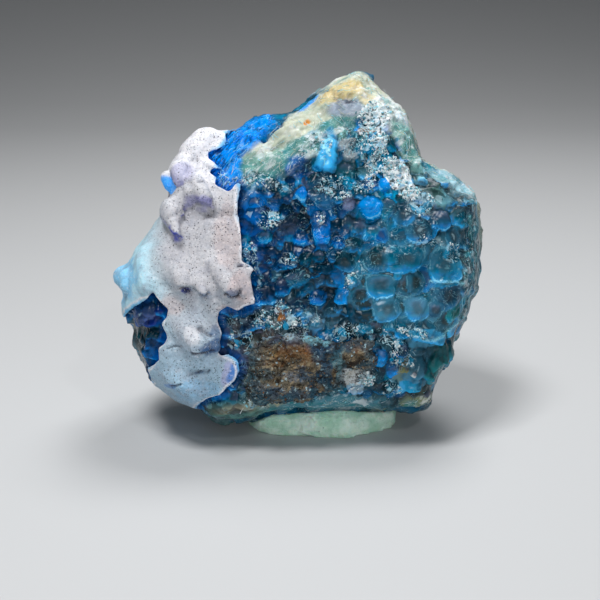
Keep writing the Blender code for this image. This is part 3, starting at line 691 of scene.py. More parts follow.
def close_to_front(points, tree, x, z):
    """Fall from 1 to 0 going back into the stone from its front at this place."""
    return eased(2.0, 0.9, np.abs(points[:, 1] - on_front(tree, x, z)[0][1]))


def from_line(points, start, end):
    """How far each point lies from a line on the front."""
    run = np.subtract(end, start)
    from_start = points[:, [0, 2]] - start
    along = np.clip(from_start @ run / (run @ run), 0, 1)
    return np.linalg.norm(from_start - along[:, None] * run, axis=1)


def laid(tint, *layers):
    """Lay colours over a tint in turn, each as (share, colour), with a share for each point."""
    for share, colour in layers:
        share = share[:, None]
        tint = tint * (1 - share) + linear(colour) * share
    return tint


def washed(points, ragged, washes, tint, tree=None):
    """Lay soft patches of colour over a tint, with a tree only close to where each meets the front."""
    tint = linear(tint)
    for x, z, wide, high, turn, colour, strength in washes:
        share = strength * patch(points, ragged, x, z, wide, high, turn)
        if tree is not None:
            share = share * close_to_front(points, tree, x, z)
        tint = laid(tint, (share, colour))
    return tint


@dataclass
class Cell:
    """One rounded cell of the mass: where it sits, how it lies and how it looks."""

    place: np.ndarray
    normal: np.ndarray
    radius: float
    stretch: float
    turn: float
    squareness: float
    rise: float
    glow: float
    tint: np.ndarray
    strength: float
    lean: tuple
    ragged: float = 1.0

    def __post_init__(self):
        side = np.cross((0.0, 0.0, 1.0), self.normal)
        side /= max(np.linalg.norm(side), 1e-6)
        up = np.cross(self.normal, side)
        self.side = side * math.cos(self.turn) + up * math.sin(self.turn)
        self.up = up * math.cos(self.turn) - side * math.sin(self.turn)

    def top(self, across, up, inside):
        """How high the cell stands at places within it: a dome, or a flat broken face that leans."""
        if self.lean is None:
            return self.rise * (0.80 - 0.30 * up) * inside ** np.clip(0.80 + 0.45 * up, 0.35, 1.3)
        return self.rise * np.clip(0.6 + self.lean[0] * across + self.lean[1] * up, 0.02, 1.3) * inside**0.25


def face_size(place, normal, random):
    """The usual radius of one of the broken faces at this place, in millimetres."""
    x, _, z = place
    if normal[1] > -0.2:
        return random.uniform(1.6, 3.6)
    if x > 8 and z < 25:
        return random.uniform(1.2, 2.4)
    return random.uniform(0.55, 1.5)


def bead_size(place, normal, random):
    """The usual radius of one of the rounded cells at this place, in millimetres."""
    x, _, z = place
    if x > 19.5 or normal[1] > -0.2:
        return random.uniform(0.5, 1.1)
    if x > 9 and z < 24:
        return random.uniform(1.1, 2.0)
    return random.uniform(0.5, 1.2)


def packed_cells(cells, made, ground, tries, size, spacing, rise, seed):
    """Add cells between the ones that are there, each of a usual size, until the surface is full."""
    random = np.random.default_rng(seed)
    points, normals = surface(made)
    tints = [linear(name) for name in CELL_TINTS]
    places = np.array([cell.place for cell in cells]).reshape(-1, 3)
    sizes = np.array([cell.radius for cell in cells])
    named = len(cells)
    calm = any_patch(points, 0.0, CALM) > 0.5
    for index in random.permutation(len(points))[:tries]:
        if named and calm[index]:
            continue
        radius = size(points[index], normals[index], random)
        apart = np.linalg.norm(places - points[index], axis=1)
        room = np.where(np.arange(len(sizes)) < named, 0.85, spacing)
        if (apart < room * (sizes + radius)).any():
            continue
        broken = random.random() < (0.85 if points[index][2] > 27 else 0.4)
        lean = random.uniform(-0.6, 0.6, 2) if broken else None
        turn = random.uniform(-1.6, 1.6) if broken else random.normal(0, 0.4)
        squareness = random.choice((1.5, 3.0, 6.0)) if broken else random.choice((2.0, 2.2, 2.6))
        own = tints[random.integers(len(tints))]
        share = random.uniform(0.0, 0.85) ** 1.5
        dark = not calm[index] and random.random() < 0.5
        dimmed = random.uniform(0.25, 0.6) if dark else random.uniform(0.7, 1.4)
        tint = (ground[index] * (1 - share) + own * share) * dimmed
        cells.append(Cell(
            points[index], normals[index], radius, random.uniform(0.75, 1.5), turn, squareness,
            radius * random.uniform(*rise), random.beta(0.6, 1.4), tint, strength=0.9, lean=lean,
        ))
        places = np.vstack((places, points[index]))
        sizes = np.append(sizes, radius)
    return cells


def named_cells(made):
    """The cells that stand out in the table, in place on the surface."""
    tree = nearest(made)
    cells = []
    for x, z, radius, stretch, turn, squareness, rise, glow, colour in CELLS:
        lean = (0.0, -0.35) if squareness > 3 else None
        looks = (radius, stretch, math.radians(turn), squareness, rise, glow, linear(colour))
        cells.append(Cell(*on_front(tree, x, z), *looks, strength=0.85, lean=lean, ragged=0.55))
    return cells


def grown(points, normals, cells, seed):
    """Raise cells out of the surface, and keep for each point where it lies in its cell."""
    kept = {name: np.zeros(len(points)) for name in ("height", "low", "glow", "pick", "share")}
    kept.update(reach=np.ones(len(points)), tint=np.zeros((len(points), 3)))
    wobble = shaken(points, 1.1, 3, (seed + 3.0, seed + 11.0, seed + 19.0)) * 0.30
    picks = np.random.default_rng(seed).uniform(0, 1, len(cells))
    tree = searchable(points)
    for cell, pick in zip(cells, picks):
        near = np.array([index for _, index, _ in tree.find_range(cell.place, cell.radius * 1.9)], int)
        near = near[normals[near] @ cell.normal > 0.15]
        offset = points[near] - cell.place + wobble[near] * min(cell.radius, 1.2) * cell.ragged
        across = offset @ cell.side / cell.radius
        up = offset @ cell.up / (cell.radius * cell.stretch)
        reach = (np.abs(across) ** cell.squareness + np.abs(up) ** cell.squareness) ** (1 / cell.squareness)
        inside = np.clip(1 - reach ** (1.0 + cell.squareness * 0.6), 0, 1)
        step = cell.top(across, up, inside)
        taller = (reach < 1) & (step > kept["height"][near])
        downwards = -offset[:, 2] / (cell.radius * max(cell.stretch, 0.8))
        own = {
            "height": step[taller], "reach": reach[taller], "low": np.clip(downwards[taller], -1, 1),
            "glow": cell.glow, "pick": pick, "share": cell.strength, "tint": cell.tint,
        }
        for name, values in own.items():
            kept[name][near[taller]] = values
    return kept


def tiled(points, cells, seed):
    """Share the whole surface out among cells as flat faces that lean and meet at steps and ridges."""
    random = np.random.default_rng(seed)
    shifted = points + shaken(points, 1.7, 4, (seed + 3.0, seed + 11.0, seed + 19.0)) * 0.34
    tree = searchable([cell.place for cell in cells])
    pairs = [tree.find_n(point, 2) for point in shifted]
    first, second = np.array([[found[1] for found in pair] for pair in pairs]).T
    near, far = np.array([[found[2] for found in pair] for pair in pairs]).T

    def each(name):
        """A property of the cell that each point lies in."""
        return np.array([getattr(cell, name) for cell in cells])[first]

    places = np.array([cell.place for cell in cells])
    apart = np.linalg.norm(places[first] - places[second], axis=1)
    border = (far**2 - near**2) / (2 * np.maximum(apart, 0.05))
    offset = shifted - places[first]
    size = each("radius")
    across = (offset * each("side")).sum(axis=1) / size
    along = (offset * each("up")).sum(axis=1) / size
    sideways = random.uniform(-0.6, 0.6, len(cells))[first]
    upwards = random.uniform(-0.75, 0.3, len(cells))[first]
    top = np.clip(0.7 + sideways * across + upwards * along, 0.05, 1.6)
    return {
        "height": each("rise") * top * eased(-0.02, 0.16, border),
        "reach": 1 - np.clip(border / (0.75 * size), 0, 1),
        "low": np.clip(-offset[:, 2] / size, -1, 1),
        "pick": random.uniform(0, 1, len(cells))[first],
        "glow": each("glow"),
        "share": each("strength"),
        "tint": each("tint"),
    }


class Value:
    """A socket of a material, so that sums on patterns read as sums."""

    def __init__(self, finish, socket):
        self.finish = finish
        self.socket = socket

    def sum(self, operation, first, second):
        return self.finish.node("Math", {"operation": operation}, {0: first, 1: second})

    def __add__(self, other):
        return self.sum("ADD", self, other)

    def __radd__(self, other):
        return self.sum("ADD", other, self)

    def __sub__(self, other):
        return self.sum("SUBTRACT", self, other)

    def __rsub__(self, other):
        return self.sum("SUBTRACT", other, self)

    def __mul__(self, other):
        return self.sum("MULTIPLY", self, other)

    def __rmul__(self, other):
        return self.sum("MULTIPLY", other, self)

    def between(self, low, high):
        """Rise smoothly from 0 to 1 between two values, or fall if the first is higher."""
        inputs = {"Value": self, "From Min": min(low, high), "From Max": max(low, high)}
        risen = self.finish.node("MapRange", {"interpolation_type": "SMOOTHSTEP"}, inputs)
        return risen if low < high else 1 - risen


class Finish:
    """A material put together step by step."""

    def __init__(self, name, roughness, **fixed):
        self.material = bpy.data.materials.new(name)
        self.material.use_nodes = True
        self.tree = self.material.node_tree
        self.shader = self.tree.nodes["Principled BSDF"]
        for socket, value in {"Roughness": roughness, **fixed}.items():
            self.shader.inputs[socket.replace("_", " ")].default_value = value
        self.place = self.node("TexCoord", {}, {}, "Object")

    def node(self, kind, settings, inputs, output=0):
        """Add a node: its settings first, then the values or links of its sockets."""
        made = self.tree.nodes.new("ShaderNode" + kind)
        for setting, value in settings.items():
            setattr(made, setting, value)
        for name, value in inputs.items():
            if isinstance(value, Value):
                self.tree.links.new(value.socket, made.inputs[name])
            else:
                made.inputs[name].default_value = value
        return Value(self, made.outputs[output])

    def kept(self, names):
        """The numbers painted on the mesh under these names."""
        return [self.node("Attribute", {"attribute_name": name}, {}, "Fac") for name in names.split()]

    def tint(self):
        """The colour painted on the mesh."""
        return self.node("Attribute", {"attribute_name": "tint"}, {}, "Color")

    def noise(self, size, detail=3.0, roughness=0.6, stretch=None):
        """Cloudy noise from 0 to 1 with lumps of a size in millimetres, or streaks along a direction."""
        place = self.place
        if stretch is not None:
            turn, scale = stretch
            angle = (0.0, -math.radians(turn), 0.0)
            inputs = {"Vector": place, "Rotation": angle, "Scale": (scale, 1.0, 1.0)}
            place = self.node("Mapping", {"vector_type": "TEXTURE"}, inputs)
        inputs = {"Vector": place, "Scale": 1 / (size * MM), "Detail": detail, "Roughness": roughness}
        return self.node("TexNoise", {}, inputs)

    def bent(self, size, reach):
        """The place, pushed about by cloudy noise, so that patterns on it curl."""
        inputs = {"Vector": self.place, "Scale": 1 / (size * MM), "Detail": 2.0}
        cloud = self.node("TexNoise", {}, inputs, "Color")
        push = (reach * MM, reach * MM, reach * MM)
        return self.node("VectorMath", {"operation": "MULTIPLY_ADD"}, {0: cloud, 1: push, 2: self.place})

    def specks(self, size, place=None):
        """How far each place is from the nearest of scattered points, in cells of this size."""
        inputs = {"Vector": place or self.place, "Scale": 1 / (size * MM)}
        return self.node("TexVoronoi", {}, inputs, "Distance")

    def own(self, away):
        """A number from 0 to 1 for each cell of a pattern of specks."""
        return self.node("SeparateColor", {}, {0: Value(self, away.socket.node.outputs["Color"])})

    def ripples(self, size, spacing):
        """Thin arcs in bundles round scattered points, like the ripples on broken glass."""
        away = self.specks(size, self.bent(size * 0.6, size * 0.3))
        wave = self.node("Math", {"operation": "SINE"}, {0: away * (2 * math.pi * size / spacing)})
        return wave.between(0.72, 0.96) * self.noise(size * 0.45, 2.0).between(0.50, 0.57)

    def layered(self, colour, *layers):
        """Lay colours over a colour in turn, each as (share, colour)."""
        for share, top in layers:
            low, high = (tone if isinstance(tone, Value) else (*linear(tone), 1) for tone in (colour, top))
            colour = self.node("Mix", {"data_type": "RGBA"}, {0: share, 6: low, 7: high}, 2)
        return colour

    def raised(self, height, depth, strength=1.0):
        """Small relief, with its full depth in millimetres."""
        return self.node("Bump", {}, {"Height": height, "Distance": depth * MM, "Strength": strength})

    def set(self, **links):
        """Link patterns to the shader."""
        for socket, value in links.items():
            self.tree.links.new(value.socket, self.shader.inputs[socket.replace("_", " ")])
        return self.material


def blue_finish():
    """Glassy blue stone: dark cells with painted shade over their tops and a painted glow at their lower
    rims, crinkled edges, white powder and pale rind.
    """
    finish = Finish(
        "blue allophane", 0.2, IOR=1.45, Specular_IOR_Level=0.12, Coat_Weight=0.12, Coat_Roughness=0.04,
        Subsurface_Weight=0.08, Subsurface_Scale=0.0006, Subsurface_Radius=(0.15, 0.6, 1.0),
        Emission_Strength=0.25,
    )
    gleam, reach, low, pick, crease = finish.kept("gleam reach low pick crease")
    dull, powder, crinkle, rim, streaked = finish.kept("dull powder crinkle rim streaked")
    hazy, fibrous, calm, glowing, ridge = finish.kept("hazy fibrous calm glowing ridge")
    cloud = finish.noise(1.1, 4.0, 0.65)
    patchy = finish.noise(2.6)
    fine = finish.noise(0.2, 3.0, 0.7)
    glassy = 1 - dull

    # Each cell: dark inside in cloudy patches and hazy in places, with painted shade over its upper part, a
    # painted sheen in the upper part of some cells, a painted highlight at its heart, a painted glow and a
    # thin pale line towards its lower rim, and painted shade in the crevices.
    clear = glassy * (1 - hazy * 0.5) * (1 - glowing * 0.8)
    gleam = gleam * finish.noise(1.4).between(0.34, 0.56)
    # A painted sheen: a mauve reflection in the upper part of some cells.
    painted_sheen = low.between(0.1, -0.5) * reach.between(0.9, 0.5) * pick.between(0.6, 0.9) * glassy
    haze = hazy * reach.between(0.30, 0.70) * finish.noise(1.8, 2.0).between(0.38, 0.62)
    nucleus = hazy * (1 - fibrous) * (reach + (cloud - 0.5) * 0.6).between(0.60, 0.20)
    # A painted highlight: a small pale spot at the centre of some cells.
    painted_highlight = (reach + (fine - 0.5) * 0.3).between(0.20, 0.02) * pick.between(0.30, 0.24) * glassy
    edge = reach + (fine - 0.5) * 0.14
    line = edge.between(0.85, 0.89) * edge.between(0.96, 0.93) * cloud.between(0.60, 0.46)
    colour = finish.layered(
        finish.tint(),
        (low.between(0.45, -0.40) * clear * 0.72, "ink"),
        (cloud.between(0.50, 0.62) * clear * 0.5, "ink"),
        (painted_sheen * 0.2, "mauve"),
        (haze * 0.40, "haze"),
        (nucleus * 0.45, "umber"),
        (painted_highlight * 0.35, "frost"),
        (gleam * edge.between(0.25, 0.95) * (0.9 - hazy * 0.2), "azure"),
        (gleam * edge.between(0.70, 0.95) * 0.8, "bright_cyan"),
        ((gleam.between(0.3, 0.6) + hazy * 0.25) * line * 0.7, "pale_cyan"),
        (crease * 0.85, (0.001, 0.012, 0.02)),
        (ridge * fine.between(0.40, 0.52) * 0.8, "pale_cyan"),
    )

    # Long streaks on the bright blue slope, with painted glints in sky blue and pale cyan along them, and
    # upright fibres at the right edge.
    streak = finish.noise(0.30, stretch=(45, 9.0))
    glint = finish.noise(0.20, stretch=(45, 5.0))
    upright = finish.noise(0.22, stretch=(90, 7.0))
    colour = finish.layered(
        colour,
        (streaked * streak.between(0.44, 0.32) * 0.7, "royal"),
        (streaked * streak.between(0.46, 0.58) * 0.8, "azure"),
        (streaked * glint.between(0.58, 0.66) * 0.7, "sky"),
        (streaked * glint.between(0.66, 0.72) * 0.9, "pale_cyan"),
        (fibrous * upright.between(0.46, 0.36) * 0.7, "dark_teal"),
        (fibrous * upright.between(0.55, 0.63) * 0.6, "pale_cyan"),
    )

    # Shards, slivers, ripples and white specks, part dust and part painted glints, in the crinkled places.
    shard = finish.own(finish.specks(1.1, finish.bent(0.6, 0.8)))
    sliver = finish.own(finish.specks(0.55, finish.bent(0.5, 0.7)))
    broken = crinkle * patchy.between(0.36, 0.50)
    fine_lines = finish.ripples(1.3, 0.26)
    lines = fine_lines + finish.ripples(2.2, 0.40)
    web = crinkle * lines
    loose = glassy * (1 - calm)
    speck = finish.specks(0.30)
    dust_and_glints = speck.between(0.24, 0.16) * finish.own(speck).between(0.6, 0.7) * loose
    colour = finish.layered(
        colour,
        (broken * (1 - glowing) * shard.between(0.50, 0.40) * 0.4, "ink"),
        (broken * shard.between(0.70, 0.80) * 0.6, "bright_cyan"),
        (broken * sliver.between(0.40, 0.28) * 0.5, "dark_teal"),
        (broken * sliver.between(0.70, 0.95) * 0.6, "frost"),
        (web * 0.6, "frost"),
        (glowing * crinkle * sliver.between(0.55, 0.85) * 0.7, "pale_cyan"),
        (loose * patchy.between(0.46, 0.62) * lines * 0.25, "pale_cyan"),
        (dust_and_glints * (crinkle + 0.3) * patchy.between(0.53, 0.60) * 0.8, "chalk"),
    )

    # White powder with dark hollows, then the swirls and threads of the dull rind and back, and a painted rim
    # light in beige along the upper right edges.
    crumbs = finish.noise(0.8, 4.0, 0.65)
    hollow = finish.noise(0.42, 2.0, 0.5)
    frosted = (powder + (crumbs - 0.5) * 1.6 + (patchy - 0.5) * 1.2).between(0.35, 0.80)
    frosted = frosted * powder.between(0.02, 0.25)
    swirl = finish.noise(1.3, 4.0, stretch=(35, 2.5))
    thread = finish.noise(0.24, stretch=(40, 6.0))
    veiled = dull * (1 - calm * 0.6)
    colour = finish.layered(
        colour,
        (frosted * 0.6, "frost"),
        (frosted * crumbs.between(0.45, 0.55), "chalk"),
        (powder.between(0.1, 0.5) * hollow.between(0.44, 0.38) * 0.85, "ink"),
        (veiled * swirl.between(0.50, 0.66) * 0.6, "sea_green"),
        (veiled * swirl.between(0.48, 0.36) * 0.6, "chalk"),
        (veiled * cloud.between(0.58, 0.70) * 0.3, "dark_teal"),
        (veiled * thread.between(0.58, 0.66) * 0.5, "chalk"),
        (dull * fine_lines * 0.35, "chalk"),
        (rim * fine.between(0.36, 0.50) * 0.85, "rind_beige"),
    )

    # Painted glow: azure at the cells' lower rims and vivid blue along the streaks, with none in the painted
    # crevice shade.
    light = finish.layered(
        BLACK,
        (gleam * edge.between(0.35, 0.95), "azure"),
        (streaked * streak.between(0.34, 0.56), "vivid"),
        (crease, BLACK),
    )
    height = fine * (0.3 + dull * 0.5) + cloud * 0.6 + web * 0.6 + (shard + sliver) * broken
    height = height + crumbs * powder * 3.0 + streak * streaked * 2.0 + upright * fibrous * 2.0
    relief = finish.raised(height, 0.12, 0.6)
    roughness = 0.10 + dull * 0.45 + powder * 0.3 + fine * 0.1
    return finish.set(Base_Color=colour, Roughness=roughness, Normal=relief, Emission_Color=light)


def crust_finish():
    """White porcelain skin with dark pores, turning pale cyan at the left and sky blue below."""
    finish = Finish(
        "white crust", 0.5, IOR=1.45, Specular_IOR_Level=0.35, Emission_Strength=0.35,
        Subsurface_Weight=0.12, Subsurface_Scale=0.0007, Subsurface_Radius=(0.6, 0.85, 1.0),
    )
    tint = finish.tint()
    clean, shine = finish.kept("clean shine")
    first = finish.specks(0.40)
    second = finish.specks(0.24)
    chosen = finish.noise(1.3).between(0.38, 0.50)
    pore = first.between(0.24, 0.12) * finish.own(first).between(0.35, 0.80)
    pinprick = second.between(0.34, 0.16) * finish.own(second).between(0.10, 0.50) * chosen
    hole = (pore + pinprick * 0.7) * (1 - clean)
    cloud = finish.noise(1.4, 5.0)
    fine = finish.noise(0.30, 4.0, 0.7)
    grain = finish.noise(0.12, 2.0)
    colour = finish.layered(
        tint,
        (cloud.between(0.45, 0.70) * 0.40, (0.33, 0.35, 0.43)),
        (fine.between(0.50, 0.66) * 0.40 * (1 - clean * 0.7), (0.26, 0.29, 0.36)),
        (fine.between(0.46, 0.32) * 0.45, "porcelain"),
        (hole * 0.9, (0.02, 0.025, 0.04)),
    )
    # Painted glow: the azure knob's underside gives off its own colour as light.
    light = finish.layered(BLACK, (shine, tint))
    relief = finish.raised(grain * 0.4 + fine + cloud - hole * 1.5, 0.12, 0.7)
    return finish.set(Base_Color=colour, Roughness=0.45 + grain * 0.25, Normal=relief, Emission_Color=light)


def rock_finish():
    """Rough brown rock with rusty, dark and pale ridges and a blue tinge at its borders."""
    finish = Finish("brown rock", 0.85, Specular_IOR_Level=0.3)
    cloud = finish.noise(1.6, 4.0)
    ridges = finish.noise(0.55, 5.0, 0.7, (10, 1.8))
    fine = finish.noise(0.22, 3.0, 0.7, (10, 1.5))
    crumb = finish.own(finish.specks(0.26, finish.bent(0.4, 0.4)))
    [blue] = finish.kept("blue")
    earthy = 1 - blue * 0.75
    colour = finish.layered(
        finish.tint(),
        (cloud.between(0.52, 0.62) * earthy * 0.5, "black_brown"),
        (cloud.between(0.46, 0.36) * earthy * 0.55, "tan"),
        (ridges.between(0.52, 0.60) * 0.85, "black_brown"),
        (ridges.between(0.47, 0.38) * earthy * 0.9, "tan"),
        (fine.between(0.54, 0.62) * 0.6, "black_brown"),
        (ridges.between(0.42, 0.34) * (1 - earthy) * 0.9, "mist"),
        (crumb.between(0.92, 0.97) * cloud.between(0.56, 0.42) * 0.8, "frost"),
    )
    relief = finish.raised(ridges * -2.0 + fine * -0.7 + crumb * 0.5, 0.3)
    return finish.set(Base_Color=colour, Roughness=0.55 + fine * 0.4, Normal=relief)


def grain_finish(name, roughness):
    """Small grains and fibres that keep the colour painted on them, slightly mottled."""
    finish = Finish(name, roughness, Subsurface_Weight=0.1, Subsurface_Scale=0.0005)
    fine = finish.noise(0.15, 2.0)
    colour = finish.layered(finish.tint(), (fine.between(0.45, 0.7) * 0.4, "grey_teal"))
    relief = finish.raised(fine, 0.03, 0.5)
    return finish.set(Base_Color=colour, Roughness=roughness + fine * 0.2, Normal=relief)


def putty_finish():
    """Smooth pale green putty, a little waxy, with faint smears and specks."""
    finish = Finish("putty", 0.5, Subsurface_Weight=0.25, Subsurface_Scale=0.002)
    smear = finish.noise(2.2, 4.0)
    fine = finish.noise(0.3)
    speck = finish.specks(0.9).between(0.10, 0.05) * finish.noise(2.5, 1.0).between(0.48, 0.60)
    press = finish.ripples(7.0, 4.5)
    colour = finish.layered(
        (0.45, 0.75, 0.59),
        (smear.between(0.38, 0.62), (0.74, 0.95, 0.83)),
        (fine.between(0.60, 0.75) * 0.3, (0.30, 0.42, 0.36)),
        (speck * 0.8, (0.05, 0.08, 0.06)),
        (press * 0.35, (0.78, 0.95, 0.86)),
    )
    relief = finish.raised(smear + fine * 0.25 + press * 0.3, 0.9, 0.8)
    return finish.set(Base_Color=colour, Roughness=0.42 + fine * 0.2, Normal=relief)


def crust_piece(node, mass):
    """The white porcelain skin with its drips, creases and broken edge."""
    made = refined("crust_skin", node, CRUST_GRAIN, smoothing=2, lumps=CRUST_LUMPS)
    points, normals = surface(made)
    broken = eased(0.95, 0.35, distances(points, mass, 1.2))
    lift = noise(points, 2.4, 2) * 0.12 + noise(points, 0.7, 2, 9.0) * 0.04
    lift += noise(stretched(points, 0, 3.0), 0.5, 2, 12.0) * 0.03 - broken * 0.25
    wander = noise(points, 0.8, 2, 44.0)
    shaded = np.zeros(len(points))
    for start, end, wide, deep, dark in CRUST_CREASES:
        away = from_line(points, start, end) + wander * wide * 0.3
        crease = np.exp(-((away / wide) ** 2)) * (normals[:, 1] < 0)
        lift -= deep * crease
        shaded = np.maximum(shaded, eased(0.25, 0.65, crease) * dark)
    moved(made, points + normals * lift[:, None])

    points, normals = surface(made)
    x, _, z = points.T
    wander = noise(points, 3.0, 2, 1.0)
    ragged = noise(points, 1.2, 2, 5.0) * 0.22
    tree = nearest(made)
    left = eased(-13.5, -20.0, x + wander * 1.5) * eased(27, 21, z)
    underside_shade = eased(-0.10, -0.75, normals[:, 2]) * (normals[:, 1] < 0.4)
    shade = np.where((z > 19)[:, None], linear("violet"), linear("steel_sky") * 0.55)
    # Painted shade: the porcelain turns grey below the top, which stays lightest as if lit from above.
    tint = laid(
        linear("porcelain"),
        (eased(30.0, 25.0, z + wander) * 0.85, "porcelain_grey"),
        (left * 0.85, "ice"),
        (eased(15.0, 3.0, z + wander * 2.0) * 0.95, "steel_sky"),
    )
    # Painted shade on faces that turn down: violet high up and dim steel sky lower down.
    tint = laid(washed(points, ragged, CRUST_WASHES, tint), (underside_shade * eased(33, 30, z) * 0.45, shade))
    # Painted shade and glow under drips and knobs, laid only where the surface turns down.
    underside_shade_and_glow = washed(points, ragged, CRUST_TIPS, tint, tree)
    tint = laid(tint, (eased(0.20, -0.35, normals[:, 2]), underside_shade_and_glow))
    tint = washed(points, ragged, CRUST_CHIPS, tint, tree)

    # Painted shade in the creases and in the dark crescents under the drips; then the broken edge: a pale
    # line outside, then sky blue, and cobalt where it meets the mass.
    border = distances(points, mass, 1.6)
    band = eased(1.00, 0.60, border + noise(points, 0.7, 2, 3.0) * 0.12)
    line = eased(0.86, 0.95, border) * eased(1.16, 1.04, border) * (normals[:, 1] < 0)
    tint = laid(
        tint,
        (shaded, "night"),
        (line * 0.9, "porcelain"),
        (band * 0.85, "sky"),
        (eased(0.6, 0.35, border) * 0.6, "cobalt"),
    )
    # A painted glow under the azure knob, near its front.
    knob = CRUST_CHIPS[0]
    shine = patch(points, ragged, *knob[:5]) * close_to_front(points, tree, *knob[:2])
    painted(made, tint=tint, clean=np.maximum(band, eased(-15, -19, x) * 0.8), shine=shine)
    return made


def rock_piece(node, mass):
    """The brown rock, granular all over."""
    made = refined("rock_face", node, ROCK_GRAIN, smoothing=3)
    points, normals = surface(made)
    lift = noise(points, 0.9, 2, 4.0) * 0.34 + np.abs(noise(points, 0.35, 2, 8.0)) * 0.30 - 0.05
    moved(made, points + normals * lift[:, None])
    ragged = noise(points, 1.3, 3, 5.0)
    border = eased(2.4, 0.8, distances(points, mass, 2.6) + ragged * 0.9) * 0.75
    outer = washed(points, ragged * 0.3, BROAD_WASHES, "dark_teal") * 0.6 + linear("grey_teal") * 0.2
    tint = laid(washed(points, ragged * 0.8, ROCK_WASHES, "brown"), (border, outer))
    tint = washed(points, ragged * 0.5, ROCK_PATCHES, tint)
    painted(made, tint=tint, blue=np.maximum(any_patch(points, ragged * 0.8, ROCK_BLUES), border))
    return made


def blue_piece(made, neighbours):
    """The blue mass with its packed cells, rind, streaks and rough back."""
    crust, rock, putty = neighbours
    made = finer_front(made, facing=0.40, cuts=2)
    drawn_to(made, neighbours, SEAM_REACH)
    points, normals = surface(made)
    ragged = noise(points, 2.2, 3, 5.0) * 0.28
    near_crust = eased(1.2, 0.3, distances(points, crust, 2.0))
    near_rock = eased(0.6, 0.1, distances(points, rock, 1.2))
    near_putty = eased(0.6, 0.1, distances(points, putty, 1.0))
    quiet = (1 - near_crust) * (1 - near_rock) * (1 - near_putty)
    back = eased(-0.25, 0.25, normals[:, 1])
    front = 1 - back
    rind, streaked, smooth, powder, rough, hazy = (
        any_patch(points, ragged, places) * front
        for places in (RIND, STREAKED, SMOOTH, POWDERY, ROUGH_EDGE, HAZY)
    )
    crinkle = any_patch(points, ragged * 2.2, CRINKLED) * front
    glowing = any_patch(points, ragged * 0.4, GLOWING) * front
    calm = any_patch(points, ragged, CALM)
    rind = rind * (1 - glowing)
    fibrous = np.maximum(rough * (1 - glowing), back) * front

    ground = washed(points, ragged, WASHES, "teal")
    faces = packed_cells([], made, ground, FACE_TRIES, face_size, spacing=0.62, rise=(0.25, 0.55), seed=27)
    beads = named_cells(made)
    beads = packed_cells(beads, made, ground, BEAD_TRIES, bead_size, spacing=1.0, rise=(0.25, 0.60), seed=28)
    kept = tiled(points, faces, seed=5)
    upper = grown(points, normals, beads, seed=6)
    on_top = upper["height"] > STANDS_OUT
    height = evened(made, kept["height"] + upper["height"] * 0.85)
    for name, values in upper.items():
        kept[name] = np.where(on_top if values.ndim == 1 else on_top[:, None], values, kept[name])

    # The relief: cells and faces, low ridges, streaks, rind, fibres, the rough back, powder and crinkles.
    bent = points + noise(points, 0.9, 2, 51.0)[:, None] * 0.15
    ridge = np.max([np.exp(-((from_line(bent, *ends) / 0.14) ** 2)) for ends in RIDGES], axis=0) * front
    swell = noise(points, 5.0, 2, 2.0) * 0.5
    cellular = (1 - 0.75 * rind) * (1 - 0.9 * streaked) * (1 - 0.85 * smooth) * (1 - 0.6 * fibrous)
    far = eased(0.15, 0.60, normals[:, 1])
    lift = (height * (1 + 0.6 * far) - 0.75 + swell * 0.4) * quiet * cellular * (1 - 0.45 * hazy)
    lift += ridge * 0.18
    lift += np.abs(noise(stretched(points, 45, 7.0), 0.8, 2, 6.0)) * 0.8 * streaked * quiet
    lift += noise(stretched(points, 40, 2.5), 0.9, 3, 14.0) * 0.26 * rind * quiet
    lift += noise(stretched(points, 90, 3.0), 0.6, 3, 16.0) * 0.22 * fibrous * quiet
    lift += (noise(points, 2.6, 4, 12.0) * 0.35 - 0.1) * back * quiet
    lift += noise(points, 0.45, 2) * 0.05 + (noise(points, 0.45, 2, 21.0) * 0.24 + 0.08) * powder * quiet
    lift += eased(0.12, 0.0, np.abs(noise(points, 0.7, 2, 23.0))) * 0.14 * crinkle * quiet
    moved(made, points + normals * lift[:, None])

    # The colours: the ground, the cells' own, royal blue beside the crust, and a veined and stained back.
    lively = np.where(on_top, 1.0, 1 - 0.8 * calm)
    share = kept["share"] * (1 - rind) * (1 - streaked) * (1 - 0.6 * smooth) * lively
    veins = eased(-0.5, 0.8, noise(points, 4.5, 5, 31.0))
    stains = eased(0.15, 0.7, noise(points, 3.0, 5, 37.0)) * 0.6
    skin = laid(linear("sea"), (veins, "rind_green"), (stains, "rind_beige")) * 0.65 + kept["tint"] * 0.35
    tint = laid(ground, (share, kept["tint"]), (near_crust * 0.9 * front, "royal"), (back, skin))
    # How far each point faces downwards, in its cell and by its slope, which places the painted shade and the
    # painted glow of the cells.
    tilt = normals[:, 2] - read(made, "normal")[:, 2]
    low = np.clip(evened(made, kept["low"]) * 0.6 + evened(made, tilt, 3) * 0.9, -1, 1)
    x, _, z = points.T
    # A painted rim light where the surface turns up and away at the upper right edges.
    rim = eased(-0.34, -0.16, normals[:, 1]) * eased(0.1, 0.5, normals[:, 2] + normals[:, 0] * 0.5)
    # gleam is a painted glow along the lower rims of the cells, and crease a painted shade in the low places
    # between them.
    painted(
        made, tint=tint, hazy=hazy, reach=kept["reach"], low=low, pick=kept["pick"],
        gleam=eased(0.0, 0.75, low) * kept["glow"] * cellular * (1 - 0.3 * hazy) * lively,
        crease=eased(0.16, 0.0, height) * quiet * cellular * (1 - 0.6 * hazy),
        dull=np.maximum.reduce((rind, back * (0.45 + 0.55 * veins), fibrous * 0.6)),
        rim=rim * eased(9, 13, x) * eased(18, 23, z) * front, calm=np.maximum(calm, streaked),
        powder=powder, crinkle=crinkle, streaked=streaked, fibrous=fibrous, glowing=glowing, ridge=ridge,
    )
    return made, powder, rind, streaked, crinkle


